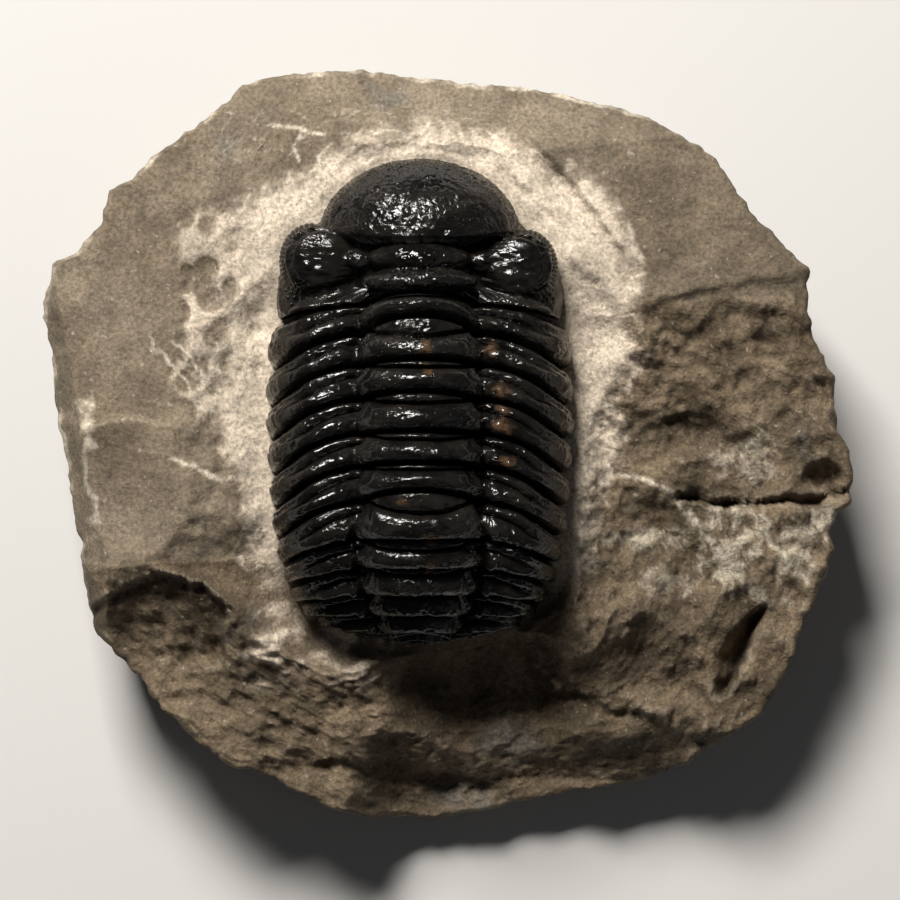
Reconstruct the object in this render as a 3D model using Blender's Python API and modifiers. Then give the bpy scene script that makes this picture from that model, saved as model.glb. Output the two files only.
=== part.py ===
"""A trilobite fossil in relief on its broken limestone matrix, for Blender 4.5.

Metres, +Z up, the head towards +Y. The origin is on the flat underside of the stone, in the
middle of its outline. The stone is one solid with a trough worked down around the fossil. The
trilobite's plates are separate solids: the head shield, eleven thorax segments and the tail
shield, each standing on the floor of the trough with a small gap to its neighbours.
"""

import math

import bmesh
import bpy
import numpy as np
from mathutils import Vector, noise

MM = 0.001

# Driving dimensions, in millimetres
GAP = 0.3
BODY_X = -2.95
SEGMENTS = 11
BED_Z = 20.5
BED_BREAK_Y = -6.5
BED_FALL = 0.48
MARGIN_LIP = 0.6

# The joints between the plates, where they cross the crest, from the head to the tail
JOINT_Y = (15.1, 12.8, 8.7, 5.6, 1.9, -1.1, -3.8, -8.3, -10.9, -13.2, -15.2, -16.9)

# The body's crest in side view, as y and z
CREST = ((18.0, 31.8), (15.1, 32.6), (5.7, 34.2), (-4.7, 33.3), (-8.2, 31.9), (-11.1, 29.2), (-13.4, 26.2),
         (-16.9, 20.8), (-18.9, 16.6))

# Measures of the body at joint numbers: 0 is the neck joint, 11 the last and 12 the tail's tip
CREST_Y = tuple(enumerate(JOINT_Y)) + ((11.5, -18.1), (12, -18.9))
MARGIN_Y = ((0, 12.4), (1, 7.8), (2, 4.3), (3, 1.0), (5, -5.6), (7, -11.2), (9, -14.9), (11, -17.3), (11.5, -18.2),
            (12, -18.9))
HALF_WIDTH = ((0, 14.3), (2, 14.7), (5, 14.2), (7, 13.4), (8, 12.7), (9, 11.8), (10, 10.5), (11, 8.6), (11.5, 6.4),
              (12, 1.4))
AXIS_HALF = ((0, 5.5), (3, 6.0), (7, 6.0), (9, 5.2), (10, 4.5), (11, 3.5), (12, 0.6))
FULCRUM = ((0, 9.8), (3, 9.9), (7, 9.1), (9, 8.0), (10, 7.0), (11, 5.6), (12, 1.0))
RING_RISE = ((0, 3.2), (7, 3.2), (9, 2.9), (11, 2.0), (12, 0.3))
RING_BOW = ((0, 1.0), (1, 1.6), (2, 0.5), (3, 0.8), (4, 0.4), (5, 0.6), (6, 1.3), (7, 0.4), (8, 0.6), (11, 0.8), (12, 0))

# The relief of one thorax segment
RING_BULGE = 0.7
BAND_BULGE = 0.6
JOINT_DEPTH = 0.65
AXIAL_SHARE = 0.36
FULCRUM_SHARE = 0.54
FLANK_TURN = math.radians(84)
SWEEP_CURVE = 1.8

# The stone's outline seen from above, counterclockwise from the right, as x and y
OUTLINE = (
    (40.3, -2.6), (40.0, -1.0), (38.4, 2.2), (38.2, 7.0), (36.0, 10.6), (35.1, 14.6), (35.6, 17.5),
    (33.4, 19.6), (30.2, 22.8), (28.2, 25.4), (27.0, 27.4), (25.0, 29.6), (21.6, 31.3), (18.8, 33.0), (13.8, 34.4),
    (7.0, 35.7), (2.4, 36.1), (-4.6, 36.8), (-8.8, 37.5), (-15.0, 37.1), (-18.8, 36.4), (-20.6, 35.8), (-23.8, 32.6),
    (-29.8, 28.6), (-33.4, 25.4), (-34.2, 22.8), (-36.8, 19.2), (-39.0, 18.5), (-40.2, 15.4), (-40.3, 13.0),
    (-39.2, 8.0), (-39.2, 5.0), (-38.6, 1.0), (-37.4, -5.6), (-36.4, -12.6), (-35.4, -18.2), (-32.0, -21.6),
    (-29.6, -24.8), (-25.2, -29.0), (-22.0, -31.4), (-18.8, -32.6), (-14.6, -34.4), (-12.0, -35.8),
    (-8.6, -37.0), (-1.4, -37.6), (5.8, -36.1), (12.6, -34.6), (19.6, -33.4), (24.3, -32.0), (25.2, -30.4),
    (28.6, -28.4), (31.2, -26.4), (33.8, -21.6), (36.4, -15.0), (38.3, -10.0), (37.8, -8.0), (38.4, -6.5), (39.8, -5.4),
)
STONE_SPOKES = 84
BED_RINGS = (0.55, 0.98)
TOP_RINGS = 15
# The side of the stone: share of the height, and share of the outline's distance
SIDE = ((0.84, 1.0), (0.5, 0.995), (0.18, 0.965), (0.0, 0.92))

# The trilobite's outline in plan, for the trough: its middle, and its reach at angles up from the side
BODY_MIDDLE_Y = 4.9
BODY_REACH = ((-90, 24.8), (-76, 24.7), (-65, 24.2), (-55, 23.3), (-45, 21.1), (-35, 18.5), (-20, 16.3), (0, 15.5),
              (12, 15.7), (25, 16.7), (38, 18.9), (50, 21.1), (60, 21.8), (70, 23.0), (80, 23.9), (90, 24.2))

# Broken edges: the ground to the right of each line drops by a height over a width, and climbs
# back over a reach
LEDGES = (
    (((16.4, 12.0), (23.0, 15.2), (34.7, 17.1)), 1.3, 1.5, 14.0),
    (((-38.0, 3.0), (-30.0, 3.6), (-23.6, 2.4)), -0.9, 1.2, 9.0),
    (((10.7, -24.4), (18.0, -26.0), (26.4, -28.8)), 2.6, 1.6, 12.0),
    (((-15.0, -31.0), (-7.0, -31.0), (1.0, -33.2)), 2.2, 1.4, 9.0),
    (((-34.5, -15.2), (-31.8, -13.2), (-28.0, -12.2), (-24.6, -13.0), (-22.4, -16.0), (-22.6, -20.0)), 1.7, 1.2, 8.0),
    (((-25.4, -24.4), (-19.0, -24.8), (-13.0, -28.4)), 1.4, 1.3, 6.0),
    (((9.6, 28.6), (18.1, 17.5), (16.6, 11.7)), 0.9, 1.2, 7.0),
    (((24.0, -4.0), (27.0, 1.0), (33.0, 3.4)), 1.1, 1.4, 6.0),
)

# Cracks and slots, each a line with its depth and half width
GROOVES = (
    (((22.6, -4.6), (30.3, -5.6), (40.5, -3.9)), 3.0, 1.9),
    (((29.6, -14.4), (28.6, -18.5), (25.9, -23.4)), 4.6, 2.6),
    (((31.8, -16.0), (30.6, -18.6)), 2.0, 1.4),
    (((5.9, -16.1), (8.6, -20.0), (10.7, -23.4)), -1.2, 1.8),
    (((-24.4, 6.0), (-21.0, 9.5), (-19.4, 15.0)), 0.8, 1.6),
)

# Scooped faces and pockets, each with its middle, half sizes and depth
HOLLOWS = (
    ((4.5, -24.0), (11.0, 6.5), 4.2),
    ((-28.3, -18.8), (7.6, 5.0), 1.9),
    ((23.6, 1.4), (3.6, 2.4), 1.6),
    ((37.0, -2.6), (2.4, 1.6), 1.8),
    ((-21.0, 13.0), (5.4, 9.0), 0.7),
    ((20.0, -22.0), (7.5, 4.2), 1.2),
    ((-33.0, -4.0), (4.5, 6.5), 0.9),
)


def smooth_through(stations, at):
    """A smooth curve through (position, value) stations that never swings past them, read at one position."""
    xs = [s[0] for s in sorted(stations)]
    ys = [s[1] for s in sorted(stations)]
    steps = [b - a for a, b in zip(xs, xs[1:])]
    rises = [(b - a) / w for a, b, w in zip(ys, ys[1:], steps)]
    slopes = [rises[0]]
    for before, after in zip(rises, rises[1:]):
        slopes.append(2 * before * after / (before + after) if before * after > 0 else 0.0)
    slopes.append(rises[-1])
    at = min(max(float(at), xs[0]), xs[-1])
    i = next(k for k in range(len(steps)) if at <= xs[k + 1])
    u = (at - xs[i]) / steps[i]
    return (
        (2 * u**3 - 3 * u**2 + 1) * ys[i]
        + (u**3 - 2 * u**2 + u) * steps[i] * slopes[i]
        + (3 * u**2 - 2 * u**3) * ys[i + 1]
        + (u**3 - u**2) * steps[i] * slopes[i + 1]
    )


def body_point(joint, side):
    """The smooth body at a joint number and a side from -1, the left margin, over 0, the crest, to 1."""
    half = smooth_through(HALF_WIDTH, joint)
    axis = smooth_through(AXIS_HALF, joint)
    fulcrum = smooth_through(FULCRUM, joint)
    rise = smooth_through(RING_RISE, joint)
    crest_y = smooth_through(CREST_Y, joint)
    crest_z = smooth_through(CREST, crest_y)
    margin_y = smooth_through(MARGIN_Y, joint)
    margin_z = bed_height(margin_y) + GAP + MARGIN_LIP
    across = abs(side)
    if across <= AXIAL_SHARE:
        turn = across / AXIAL_SHARE * math.pi / 2
        x = axis * math.sin(turn)
        drop = rise * (1 - math.cos(turn))
    elif across <= FULCRUM_SHARE:
        x = axis + (fulcrum - axis) * (across - AXIAL_SHARE) / (FULCRUM_SHARE - AXIAL_SHARE)
        drop = rise
    else:
        turn = (across - FULCRUM_SHARE) / (1 - FULCRUM_SHARE) * FLANK_TURN
        x = fulcrum + (half - fulcrum) * math.sin(turn) / math.sin(FLANK_TURN)
        drop = rise + (crest_z - margin_z - rise) * (1 - math.cos(turn)) / (1 - math.cos(FLANK_TURN))
    sweep = max(0.0, (x - axis) / (half - axis)) ** SWEEP_CURVE
    bow = smooth_through(RING_BOW, joint) * min(1.0, (x / axis) ** 2)
    y = (crest_y - bow) * (1 - sweep) + margin_y * sweep
    return Vector((BODY_X + math.copysign(x, side), y, crest_z - drop))


def bed_height(y):
    """The floor of the trough under the trilobite: level, then falling away under the tail."""
    return BED_Z + BED_FALL * min(0.0, y - BED_BREAK_Y)


def bump(value, middle, width):
    """1 at the middle and 0 at a width to either side, with a round top."""
    return max(0.0, 1 - ((value - middle) / width) ** 2)


def segment_relief(share, side):
    """How far a thorax plate stands out from the smooth body, share going from its front to its back edge."""
    across = abs(side)
    ring = RING_BULGE * bump(share, 0.55, 0.5)
    furrow_at = 0.36 + 0.35 * max(0.0, across - AXIAL_SHARE)
    bands = BAND_BULGE * max(bump(share, furrow_at - 0.2, 0.2), bump(share, furrow_at + 0.3, 0.32))
    fade = 1 - 0.4 * max(0.0, (across - FULCRUM_SHARE) / (1 - FULCRUM_SHARE))
    relief = ring if across < AXIAL_SHARE * 0.96 else bands * fade
    edge = JOINT_DEPTH * (1 - min(1.0, share / 0.12, (1 - share) / 0.08))
    return relief - edge


def new_object(name, mesh_data, material, collection):
    """Turns a finished bmesh, in millimetres, into a named object in metres."""
    bmesh.ops.scale(mesh_data, vec=(MM, MM, MM), verts=mesh_data.verts)
    bmesh.ops.recalc_face_normals(mesh_data, faces=mesh_data.faces)
    mesh = bpy.data.meshes.new(name)
    mesh_data.to_mesh(mesh)
    mesh_data.free()
    mesh.materials.append(material)
    obj = bpy.data.objects.new(name, mesh)
    collection.objects.link(obj)
    return obj


def plate_block(columns, rows, place, floor_at):
    """A grid laid over the body by place(row share, side), closed down to the plane floor_at(y)."""
    block = bmesh.new()
    bmesh.ops.create_grid(block, x_segments=columns, y_segments=rows, size=1)
    top_faces = block.faces[:]
    for vertex in block.verts:
        vertex.co = place((1 - vertex.co.y) / 2, vertex.co.x)
    grown = bmesh.ops.extrude_face_region(block, geom=top_faces, use_keep_orig=True)["geom"]
    bottom = [g for g in grown if isinstance(g, bmesh.types.BMVert)]
    for vertex in bottom:
        vertex.co.z = floor_at(vertex.co.y)
    bottom_set = set(bottom)
    under = [f for f in block.faces if all(v in bottom_set for v in f.verts)]
    edges = list({e for f in under for e in f.edges if all(g in under for g in e.link_faces)})
    bmesh.ops.dissolve_edges(block, edges=edges, use_verts=True)
    return block


def plane_under(y):
    """The plane that a plate around this y stands on: the level bed, or the fall under the tail."""
    if y > BED_BREAK_Y:
        return lambda at: BED_Z + GAP
    return lambda at: BED_Z + GAP + BED_FALL * (at - BED_BREAK_Y)


def make_thorax_segment(index, material, collection):
    """One thorax plate: an axial ring with a pleura on each side, between joints index and index + 1."""
    front, back = index, index + 1
    length = JOINT_Y[front] - JOINT_Y[back]
    clear = GAP / 2 / length
    rows = (0.0, 0.12, 0.3, 0.5, 0.75, 0.92, 1.0)

    def place(row_share, side):
        share = rows[round(row_share * (len(rows) - 1))]
        joint = front + clear + (1 - 2 * clear) * share
        point = body_point(joint, side)
        point.z += segment_relief(share, side)
        return point

    middle = (smooth_through(MARGIN_Y, front + 0.5) + smooth_through(CREST_Y, front + 0.5)) / 2
    block = plate_block(24, len(rows) - 1, place, plane_under(middle))
    return new_object(f"thorax_segment_{index + 1:02d}", block, material, collection)


def make_pygidium(material, collection):
    """The tail shield, which closes the body round its tip, with the axis still ringed."""
    length = JOINT_Y[-1] - CREST_Y[-1][1]
    clear = GAP / 2 / length
    row_count = 10

    def place(row_share, side):
        joint = SEGMENTS + clear + (1 - clear) * row_share
        point = body_point(joint, side)
        rings = 0.2 * math.cos(row_share * 6 * math.pi) * (1 - row_share)
        point.z += rings if row_share > 0 else -JOINT_DEPTH
        return point

    block = plate_block(22, row_count, place, plane_under(-16.0))
    return new_object("pygidium", block, material, collection)


# Rounded lumps of the head shield, measured from the body's middle: centre, radii and tilt
GLABELLA = ((0, 20.5, 24.4), (10.0, 7.9, 7.6), 7)
BASAL_LOBE = ((0, 18.5, 29.4), (4.6, 2.1, 3.1), 0)
OCCIPITAL_RING = ((0, 16.2, 29.9), (5.9, 2.2, 3.2), 0)
EYE = ((10.6, 18.0, 26.2), (3.1, 3.7, 4.7), 0)
CHEEK = ((8.8, 15.2, 22.6), (5.3, 6.6, 5.8), 0)
NECK_BAND = ((8.2, 15.4, 27.0), (4.6, 1.9, 2.2), 0)
HEAD_BASE = ((0, 18.0, 20.6), (12.2, 9.6, 9.4), 0)
HEAD_VOXEL = 0.5
HEAD_TRIANGLES = 1250


def add_lump(mesh_data, centre, radii, tilt, mirror=1):
    """A ball stretched to the given radii and tipped forwards by tilt degrees."""
    made = bmesh.ops.create_uvsphere(mesh_data, u_segments=32, v_segments=18, radius=1)["verts"]
    bmesh.ops.scale(mesh_data, vec=radii, verts=made)
    lean = math.radians(-tilt)
    for vertex in made:
        y, z = vertex.co.y, vertex.co.z
        vertex.co.y = y * math.cos(lean) - z * math.sin(lean)
        vertex.co.z = y * math.sin(lean) + z * math.cos(lean)
    place = Vector((BODY_X + mirror * centre[0], centre[1], centre[2]))
    bmesh.ops.translate(mesh_data, vec=place, verts=made)


def make_head_cutter(material, collection):
    """Everything behind the neck joint, as a block swept back down the flanks as the plates are."""
    def place(row_share, side):
        point = body_point(0, side)
        point.y += GAP / 2 / (JOINT_Y[0] - JOINT_Y[1]) - 20 * row_share
        point.x = BODY_X + (point.x - BODY_X) * (1.4 if abs(side) > 0.99 else 1)
        point.z = 50
        return point

    cutter = new_object("neck_cutter", plate_block(24, 1, place, lambda at: 0), material, collection)
    cutter.hide_render = True
    cutter.display_type = "WIRE"
    return cutter


def make_floor_cutter(collection):
    """A block that cuts the head off level with the bed."""
    size = 60
    block = bmesh.new()
    bmesh.ops.create_cube(block, size=size)
    bmesh.ops.translate(block, vec=(0, 0, BED_Z + GAP - size / 2), verts=block.verts)
    cutter = new_object("floor_cutter", block, bpy.data.materials[0], collection)
    cutter.hide_render = True
    cutter.display_type = "WIRE"
    return cutter


def make_cephalon(material, collection, helpers):
    """The head shield: its lumps grown into one skin, cut at the neck joint and at the bed."""
    lumps = bmesh.new()
    for centre, radii, tilt in (GLABELLA, BASAL_LOBE, OCCIPITAL_RING, HEAD_BASE):
        add_lump(lumps, centre, radii, tilt)
    for mirror in (-1, 1):
        for centre, radii, tilt in (EYE, CHEEK, NECK_BAND):
            add_lump(lumps, centre, radii, tilt, mirror)
    head = new_object("cephalon", lumps, material, collection)
    skin = head.modifiers.new("one skin", "REMESH")
    skin.mode = "VOXEL"
    skin.voxel_size = HEAD_VOXEL * MM
    ease = head.modifiers.new("ease", "SMOOTH")
    ease.factor = 0.5
    ease.iterations = 3
    bpy.context.view_layer.update()
    dense = head.evaluated_get(bpy.context.evaluated_depsgraph_get()).to_mesh()
    dense.calc_loop_triangles()
    triangles = len(dense.loop_triangles)
    fewer = head.modifiers.new("fewer faces", "DECIMATE")
    fewer.ratio = HEAD_TRIANGLES / triangles
    for cutter in helpers:
        cut = head.modifiers.new(cutter.name, "BOOLEAN")
        cut.operation = "DIFFERENCE"
        cut.object = cutter
    return head


def outline_radius(angle):
    """The stone's outline radius in a direction, straight between its points as a broken edge is."""
    points = np.array(OUTLINE)
    angles = np.unwrap(np.arctan2(points[:, 1], points[:, 0]))
    ends = np.array([np.hypot(*p) for p in points])
    turn = (angle - angles[0]) % (2 * math.pi) + angles[0]
    steps = np.append(angles, angles[0] + 2 * math.pi)
    k = int(np.clip(np.searchsorted(steps, turn, side="right") - 1, 0, len(points) - 1))
    a, b = points[k], points[(k + 1) % len(points)]
    ray = np.array((math.cos(angle), math.sin(angle)))
    edge = b - a
    cross = ray[0] * edge[1] - ray[1] * edge[0]
    if abs(cross) < 1e-9:
        return float(ends[k])
    return float((a[0] * edge[1] - a[1] * edge[0]) / cross)


def body_reach(across, along):
    """How far the trilobite's outline is from its middle, in a direction given across and along it."""
    return smooth_through(BODY_REACH, math.degrees(math.atan2(along, abs(across))))


def body_outline(angle, grow=1.0):
    """A point of the trilobite's outline in plan, in a direction from its middle."""
    across, along = math.cos(angle), math.sin(angle)
    reach = grow * body_reach(across, along)
    return BODY_X + reach * across, BODY_MIDDLE_Y + reach * along


def body_distance(x, y):
    """Roughly how far a point lies outside the trilobite's outline, in plan."""
    across, along = x - BODY_X, y - BODY_MIDDLE_Y
    far = math.hypot(across, along)
    slant = 2 * across * along / far**2 if far > 0 else 0.0
    return (far - body_reach(across, along)) * (1 - 0.24 * slant**2)


def beside(path, x, y):
    """Where a point lies by a line: how far off, how far to its right, and how far beyond its ends."""
    best = (1e9, 0.0, 0.0)
    last = len(path) - 2
    for k, ((ax, ay), (bx, by)) in enumerate(zip(path, path[1:])):
        ex, ey = bx - ax, by - ay
        length = math.hypot(ex, ey)
        along = ((x - ax) * ex + (y - ay) * ey) / length
        right = ((x - ax) * ey - (y - ay) * ex) / length
        held = min(max(along, 0.0), length)
        off = math.hypot(x - ax - ex * held / length, y - ay - ey * held / length)
        beyond = max(0.0, -along if k == 0 else 0.0, along - length if k == last else 0.0)
        if off < best[0]:
            best = (off, right, beyond)
    return best


def eased(value):
    """0 up to 0 and 1 from 1 on, with a soft start and end."""
    held = min(max(value, 0.0), 1.0)
    return held * held * (3 - 2 * held)


def worked_relief(x, y):
    """Ledges, cracks and scoops, as a height to add to the stone's broken faces."""
    height = 0.0
    for path, drop, width, reach in LEDGES:
        off, right, beyond = beside(path, x, y)
        if right > -width and beyond < 6:
            side = eased((right + width / 2) / width) * max(0.0, 1 - max(0.0, right) / reach)
            height -= drop * side * (1 - eased(beyond / 6))
    for path, depth, width in GROOVES:
        off, _, _ = beside(path, x, y)
        height -= depth * (1 - eased(off / width)) if off < width else 0.0
    for (cx, cy), (rx, ry), depth in HOLLOWS:
        height -= depth * max(0.0, 1 - ((x - cx) / rx) ** 2 - ((y - cy) / ry) ** 2)
    return height


def south_level(x):
    """The stone's height along the line y = -19, from the left flank over the hollow behind the tail."""
    return smooth_through(((-40, 18.5), (-22, 19.6), (-11, 18.4), (-5, 15.4), (6, 15.0), (16, 17.0), (40, 16.2)), x)


def stone_top(x, y):
    """The stone's upper surface: broken faces that meet in edges, with the trough around the fossil."""
    left_field = 24.2 + 0.07 * (x + 12)
    right_field = 24.6 - 0.05 * (x - 12)
    far_slope = 24.3 - 0.5 * (y - 30.2)
    left_wall = 22.2 - 2.0 * (-(x + 37.6) * 0.985 - (y - 10.3) * 0.173)
    break_face = 23.8 - 0.333 * ((x - 17.2) * 0.258 - (y - 12.5) * 0.966)
    lower_face = 18.6 + 0.2 * (y + 5) - 0.04 * (x - 25)
    right_side = max(break_face, lower_face) + 0.9 * max(0.0, 15.5 - x)
    steep = 0.1 + 0.6 * eased((x + 12) / 8) * (1 - eased((x - 20) / 8))
    south = south_level(x) + BED_FALL * (max(y, -24.5) + 19) + steep * min(0.0, y + 26.5)
    outer = min(left_field, right_field, far_slope, left_wall, right_side, south) + worked_relief(x, y)
    away = body_distance(x, y)
    slope = 0.42 - 0.12 * eased((y - 15) / 10) + 0.9 * eased((-11 - y) / 5)
    trough = bed_height(y) + 2.6 * eased((y - 11) / 9) + slope * max(0.0, away - 0.5)
    if away < 0.5:
        return min(outer, bed_height(y))
    grain = noise.noise(Vector((x / 5.5, y / 5.5, 3.1))) + noise.noise(Vector((x / 2.4, y / 2.4, 7.7))) * 0.5
    return min(outer, trough) + grain * min(1.0, (away - 0.5) / 3)


def make_matrix(material, collection):
    """The stone: the bed under the fossil, rings out to the broken edge, the side and the flat underside."""
    stone = bmesh.new()
    spokes = [2 * math.pi * i / STONE_SPOKES for i in range(STONE_SPOKES)]
    edge = [(outline_radius(a) * math.cos(a), outline_radius(a) * math.sin(a)) for a in spokes]
    inner = [body_outline(a) for a in spokes]
    middle = stone.verts.new((BODY_X, BODY_MIDDLE_Y, bed_height(BODY_MIDDLE_Y)))
    rings = [[stone.verts.new((*body_outline(a, grow), 0)) for a in spokes] for grow in BED_RINGS]
    for k in range(1, TOP_RINGS + 1):
        share = k / TOP_RINGS
        places = [(ix + (ox - ix) * share, iy + (oy - iy) * share) for (ix, iy), (ox, oy) in zip(inner, edge)]
        rings.append([stone.verts.new((px, py, 0)) for px, py in places])
    for ring in rings:
        for vertex in ring:
            vertex.co.z = stone_top(vertex.co.x, vertex.co.y)
    rim = [v.co.z for v in rings[-1]]
    for height_share, reach in SIDE:
        ring = []
        for (ex, ey), top in zip(edge, rim):
            bite = 1.6 * abs(noise.noise(Vector((ex / 9, ey / 9, height_share * 2)))) if reach < 1 else 0.0
            held = reach - bite / math.hypot(ex, ey)
            ring.append(stone.verts.new((ex * held, ey * held, top * height_share)))
        rings.append(ring)
    for i in range(STONE_SPOKES):
        j = (i + 1) % STONE_SPOKES
        stone.faces.new((middle, rings[0][i], rings[0][j]))
        for near, far in zip(rings, rings[1:]):
            stone.faces.new((near[i], far[i], far[j], near[j]))
    stone.faces.new(rings[-1][::-1])
    return new_object("matrix", stone, material, collection)


def plain_material(name, colour, roughness):
    """A Principled surface with one colour."""
    material = bpy.data.materials.new(name)
    material.use_nodes = True
    surface = material.node_tree.nodes["Principled BSDF"]
    surface.inputs["Base Color"].default_value = (*colour, 1)
    surface.inputs["Roughness"].default_value = roughness
    surface.inputs["Metallic"].default_value = 0
    return material


def main():
    for obj in list(bpy.data.objects):
        bpy.data.objects.remove(obj)
    parts = bpy.data.collections.new("trilobite_fossil")
    helpers = bpy.data.collections.new("cutters")
    for collection in (parts, helpers):
        bpy.context.scene.collection.children.link(collection)
    fossil = plain_material("black_calcite", (0.022, 0.021, 0.02), 0.32)
    limestone = plain_material("limestone", (0.27, 0.235, 0.185), 0.9)
    make_matrix(limestone, parts)
    cutters = (make_head_cutter(fossil, helpers), make_floor_cutter(helpers))
    make_cephalon(fossil, parts, cutters)
    for index in range(SEGMENTS):
        make_thorax_segment(index, fossil, parts)
    make_pygidium(fossil, parts)


main()
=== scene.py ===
import math

import bpy
import numpy as np
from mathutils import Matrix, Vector


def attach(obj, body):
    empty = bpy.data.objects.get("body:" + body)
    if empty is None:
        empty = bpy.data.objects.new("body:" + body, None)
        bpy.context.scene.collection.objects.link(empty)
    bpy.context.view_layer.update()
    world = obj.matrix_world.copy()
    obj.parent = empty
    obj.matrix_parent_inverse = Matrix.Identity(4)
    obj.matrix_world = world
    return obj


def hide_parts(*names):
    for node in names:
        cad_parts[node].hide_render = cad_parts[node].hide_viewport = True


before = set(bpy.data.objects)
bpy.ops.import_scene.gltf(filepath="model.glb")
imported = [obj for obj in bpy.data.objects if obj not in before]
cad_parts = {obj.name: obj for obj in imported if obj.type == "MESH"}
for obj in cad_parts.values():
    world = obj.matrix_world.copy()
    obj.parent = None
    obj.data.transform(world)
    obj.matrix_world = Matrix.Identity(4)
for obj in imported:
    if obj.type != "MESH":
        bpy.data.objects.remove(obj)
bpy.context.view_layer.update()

MM = 0.001

# The body, in millimetres, as the CAD plates have it
BODY_X = -2.95
SEGMENTS = 11
BED_Z = 20.5
BED_BREAK_Y = -6.5
BED_FALL = 0.48
MARGIN_Z_OVER_BED = 0.9
JOINT_Y = (15.1, 12.8, 8.7, 5.6, 1.9, -1.1, -3.8, -8.3, -10.9, -13.2, -15.2, -16.9)
CREST = ((18.0, 31.8), (15.1, 32.6), (5.7, 34.2), (-4.7, 33.3), (-8.2, 31.9), (-11.1, 29.2), (-13.4, 26.2),
         (-16.9, 20.8), (-18.9, 16.6))
CREST_Y = tuple(enumerate(JOINT_Y)) + ((11.5, -18.1), (12, -18.9))
MARGIN_Y = ((0, 12.4), (1, 7.8), (2, 4.3), (3, 1.0), (5, -5.6), (7, -11.2), (9, -14.9), (11, -17.3),
            (11.5, -18.2), (12, -18.9))
HALF_WIDTH = ((0, 14.3), (2, 14.7), (5, 14.2), (7, 13.4), (8, 12.7), (9, 11.8), (10, 10.5), (11, 8.6),
              (11.5, 6.4), (12, 1.4))
AXIS_HALF = ((0, 5.5), (3, 6.0), (7, 6.0), (9, 5.2), (10, 4.5), (11, 3.5), (12, 0.6))
FULCRUM = ((0, 9.8), (3, 9.9), (7, 9.1), (9, 8.0), (10, 7.0), (11, 5.6), (12, 1.0))
RING_RISE = ((0, 3.2), (7, 3.2), (9, 2.9), (11, 2.0), (12, 0.3))
RING_BOW = ((0, 1.0), (1, 1.6), (2, 0.5), (3, 0.8), (4, 0.4), (5, 0.6), (6, 1.3), (7, 0.4), (8, 0.6),
            (11, 0.8), (12, 0))
AXIAL_SHARE = 0.36
FULCRUM_SHARE = 0.54
FLANK_TURN = math.radians(84)
RING_TURN = math.radians(68)
SWEEP_CURVE = 1.8

# The stone's outline seen from above, counterclockwise from the right, as x and y
OUTLINE = (
    (40.3, -2.6), (40.0, -1.0), (38.4, 2.2), (38.2, 7.0), (36.0, 10.6), (35.1, 14.6), (35.6, 17.5),
    (33.4, 19.6), (30.2, 22.8), (28.2, 25.4), (27.0, 27.4), (25.0, 29.6), (21.6, 31.3), (18.8, 33.0),
    (13.8, 34.4), (7.0, 35.7), (2.4, 36.1), (-4.6, 36.8), (-8.8, 37.5), (-15.0, 37.1), (-18.8, 36.4),
    (-20.6, 35.8), (-23.8, 32.6), (-29.8, 28.6), (-33.4, 25.4), (-34.2, 22.8), (-36.8, 19.2), (-39.0, 18.5),
    (-40.2, 15.4), (-40.3, 13.0),
    (-39.2, 8.0), (-39.2, 5.0), (-38.6, 1.0), (-37.4, -5.6), (-36.4, -12.6), (-35.4, -18.2), (-32.0, -21.6),
    (-29.6, -24.8), (-25.2, -29.0), (-22.0, -31.4), (-18.8, -32.6), (-14.6, -34.4), (-12.0, -35.8),
    (-8.6, -37.0), (-1.4, -37.6), (5.8, -36.1), (12.6, -34.6), (19.6, -33.4), (24.3, -32.0), (25.2, -30.4),
    (28.6, -28.4), (31.2, -26.4), (33.8, -21.6), (36.4, -15.0), (38.3, -10.0), (37.8, -8.0), (38.4, -6.5),
    (39.8, -5.4),
)
# The side of the stone: share of the height, and share of the outline's distance
SIDE = ((1.0, 1.0), (0.84, 0.998), (0.5, 0.993), (0.18, 0.963), (0.0, 0.92))
STONE_SPOKES, BED_RINGS, TOP_RINGS, SIDE_RINGS = 560, 5, 118, 26
# The trilobite's outline in plan: its middle, and its reach at angles up from the side
BODY_MIDDLE_Y = 4.9
BODY_REACH = ((-90, 24.8), (-76, 24.7), (-65, 24.2), (-55, 23.3), (-45, 21.1), (-35, 18.5), (-20, 16.3),
              (0, 15.5), (12, 15.7), (25, 16.7), (38, 18.9), (50, 21.1), (60, 21.8), (70, 23.0), (80, 23.9),
              (90, 24.2))

# Broken edges: a line, the drop to its right, the width of the drop and the reach it climbs back over
LEDGES = (
    (((16.4, 12.0), (23.0, 15.2), (34.7, 17.1)), 0.7, 1.2, 14.0),
    (((-38.0, 3.0), (-30.0, 3.6), (-23.6, 2.4)), -0.9, 0.7, 9.0),
    (((10.7, -24.4), (18.0, -26.0), (26.4, -28.8)), 1.9, 1.8, 12.0),
    (((-15.0, -31.0), (-7.0, -31.0), (1.0, -33.2)), 1.5, 1.6, 9.0),
    (((-34.5, -15.2), (-31.8, -13.2), (-28.0, -12.2), (-24.6, -13.0), (-22.4, -16.0), (-22.6, -20.0)),
     1.7, 0.8, 8.0),
    (((-25.4, -24.4), (-19.0, -24.8), (-13.0, -28.4)), 1.0, 1.6, 6.0),
    (((9.6, 28.6), (18.1, 17.5), (16.6, 11.7)), 0.9, 1.0, 7.0),
    (((24.0, -4.0), (27.0, 1.0), (33.0, 3.4)), 0.5, 1.4, 6.0),
)
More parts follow.
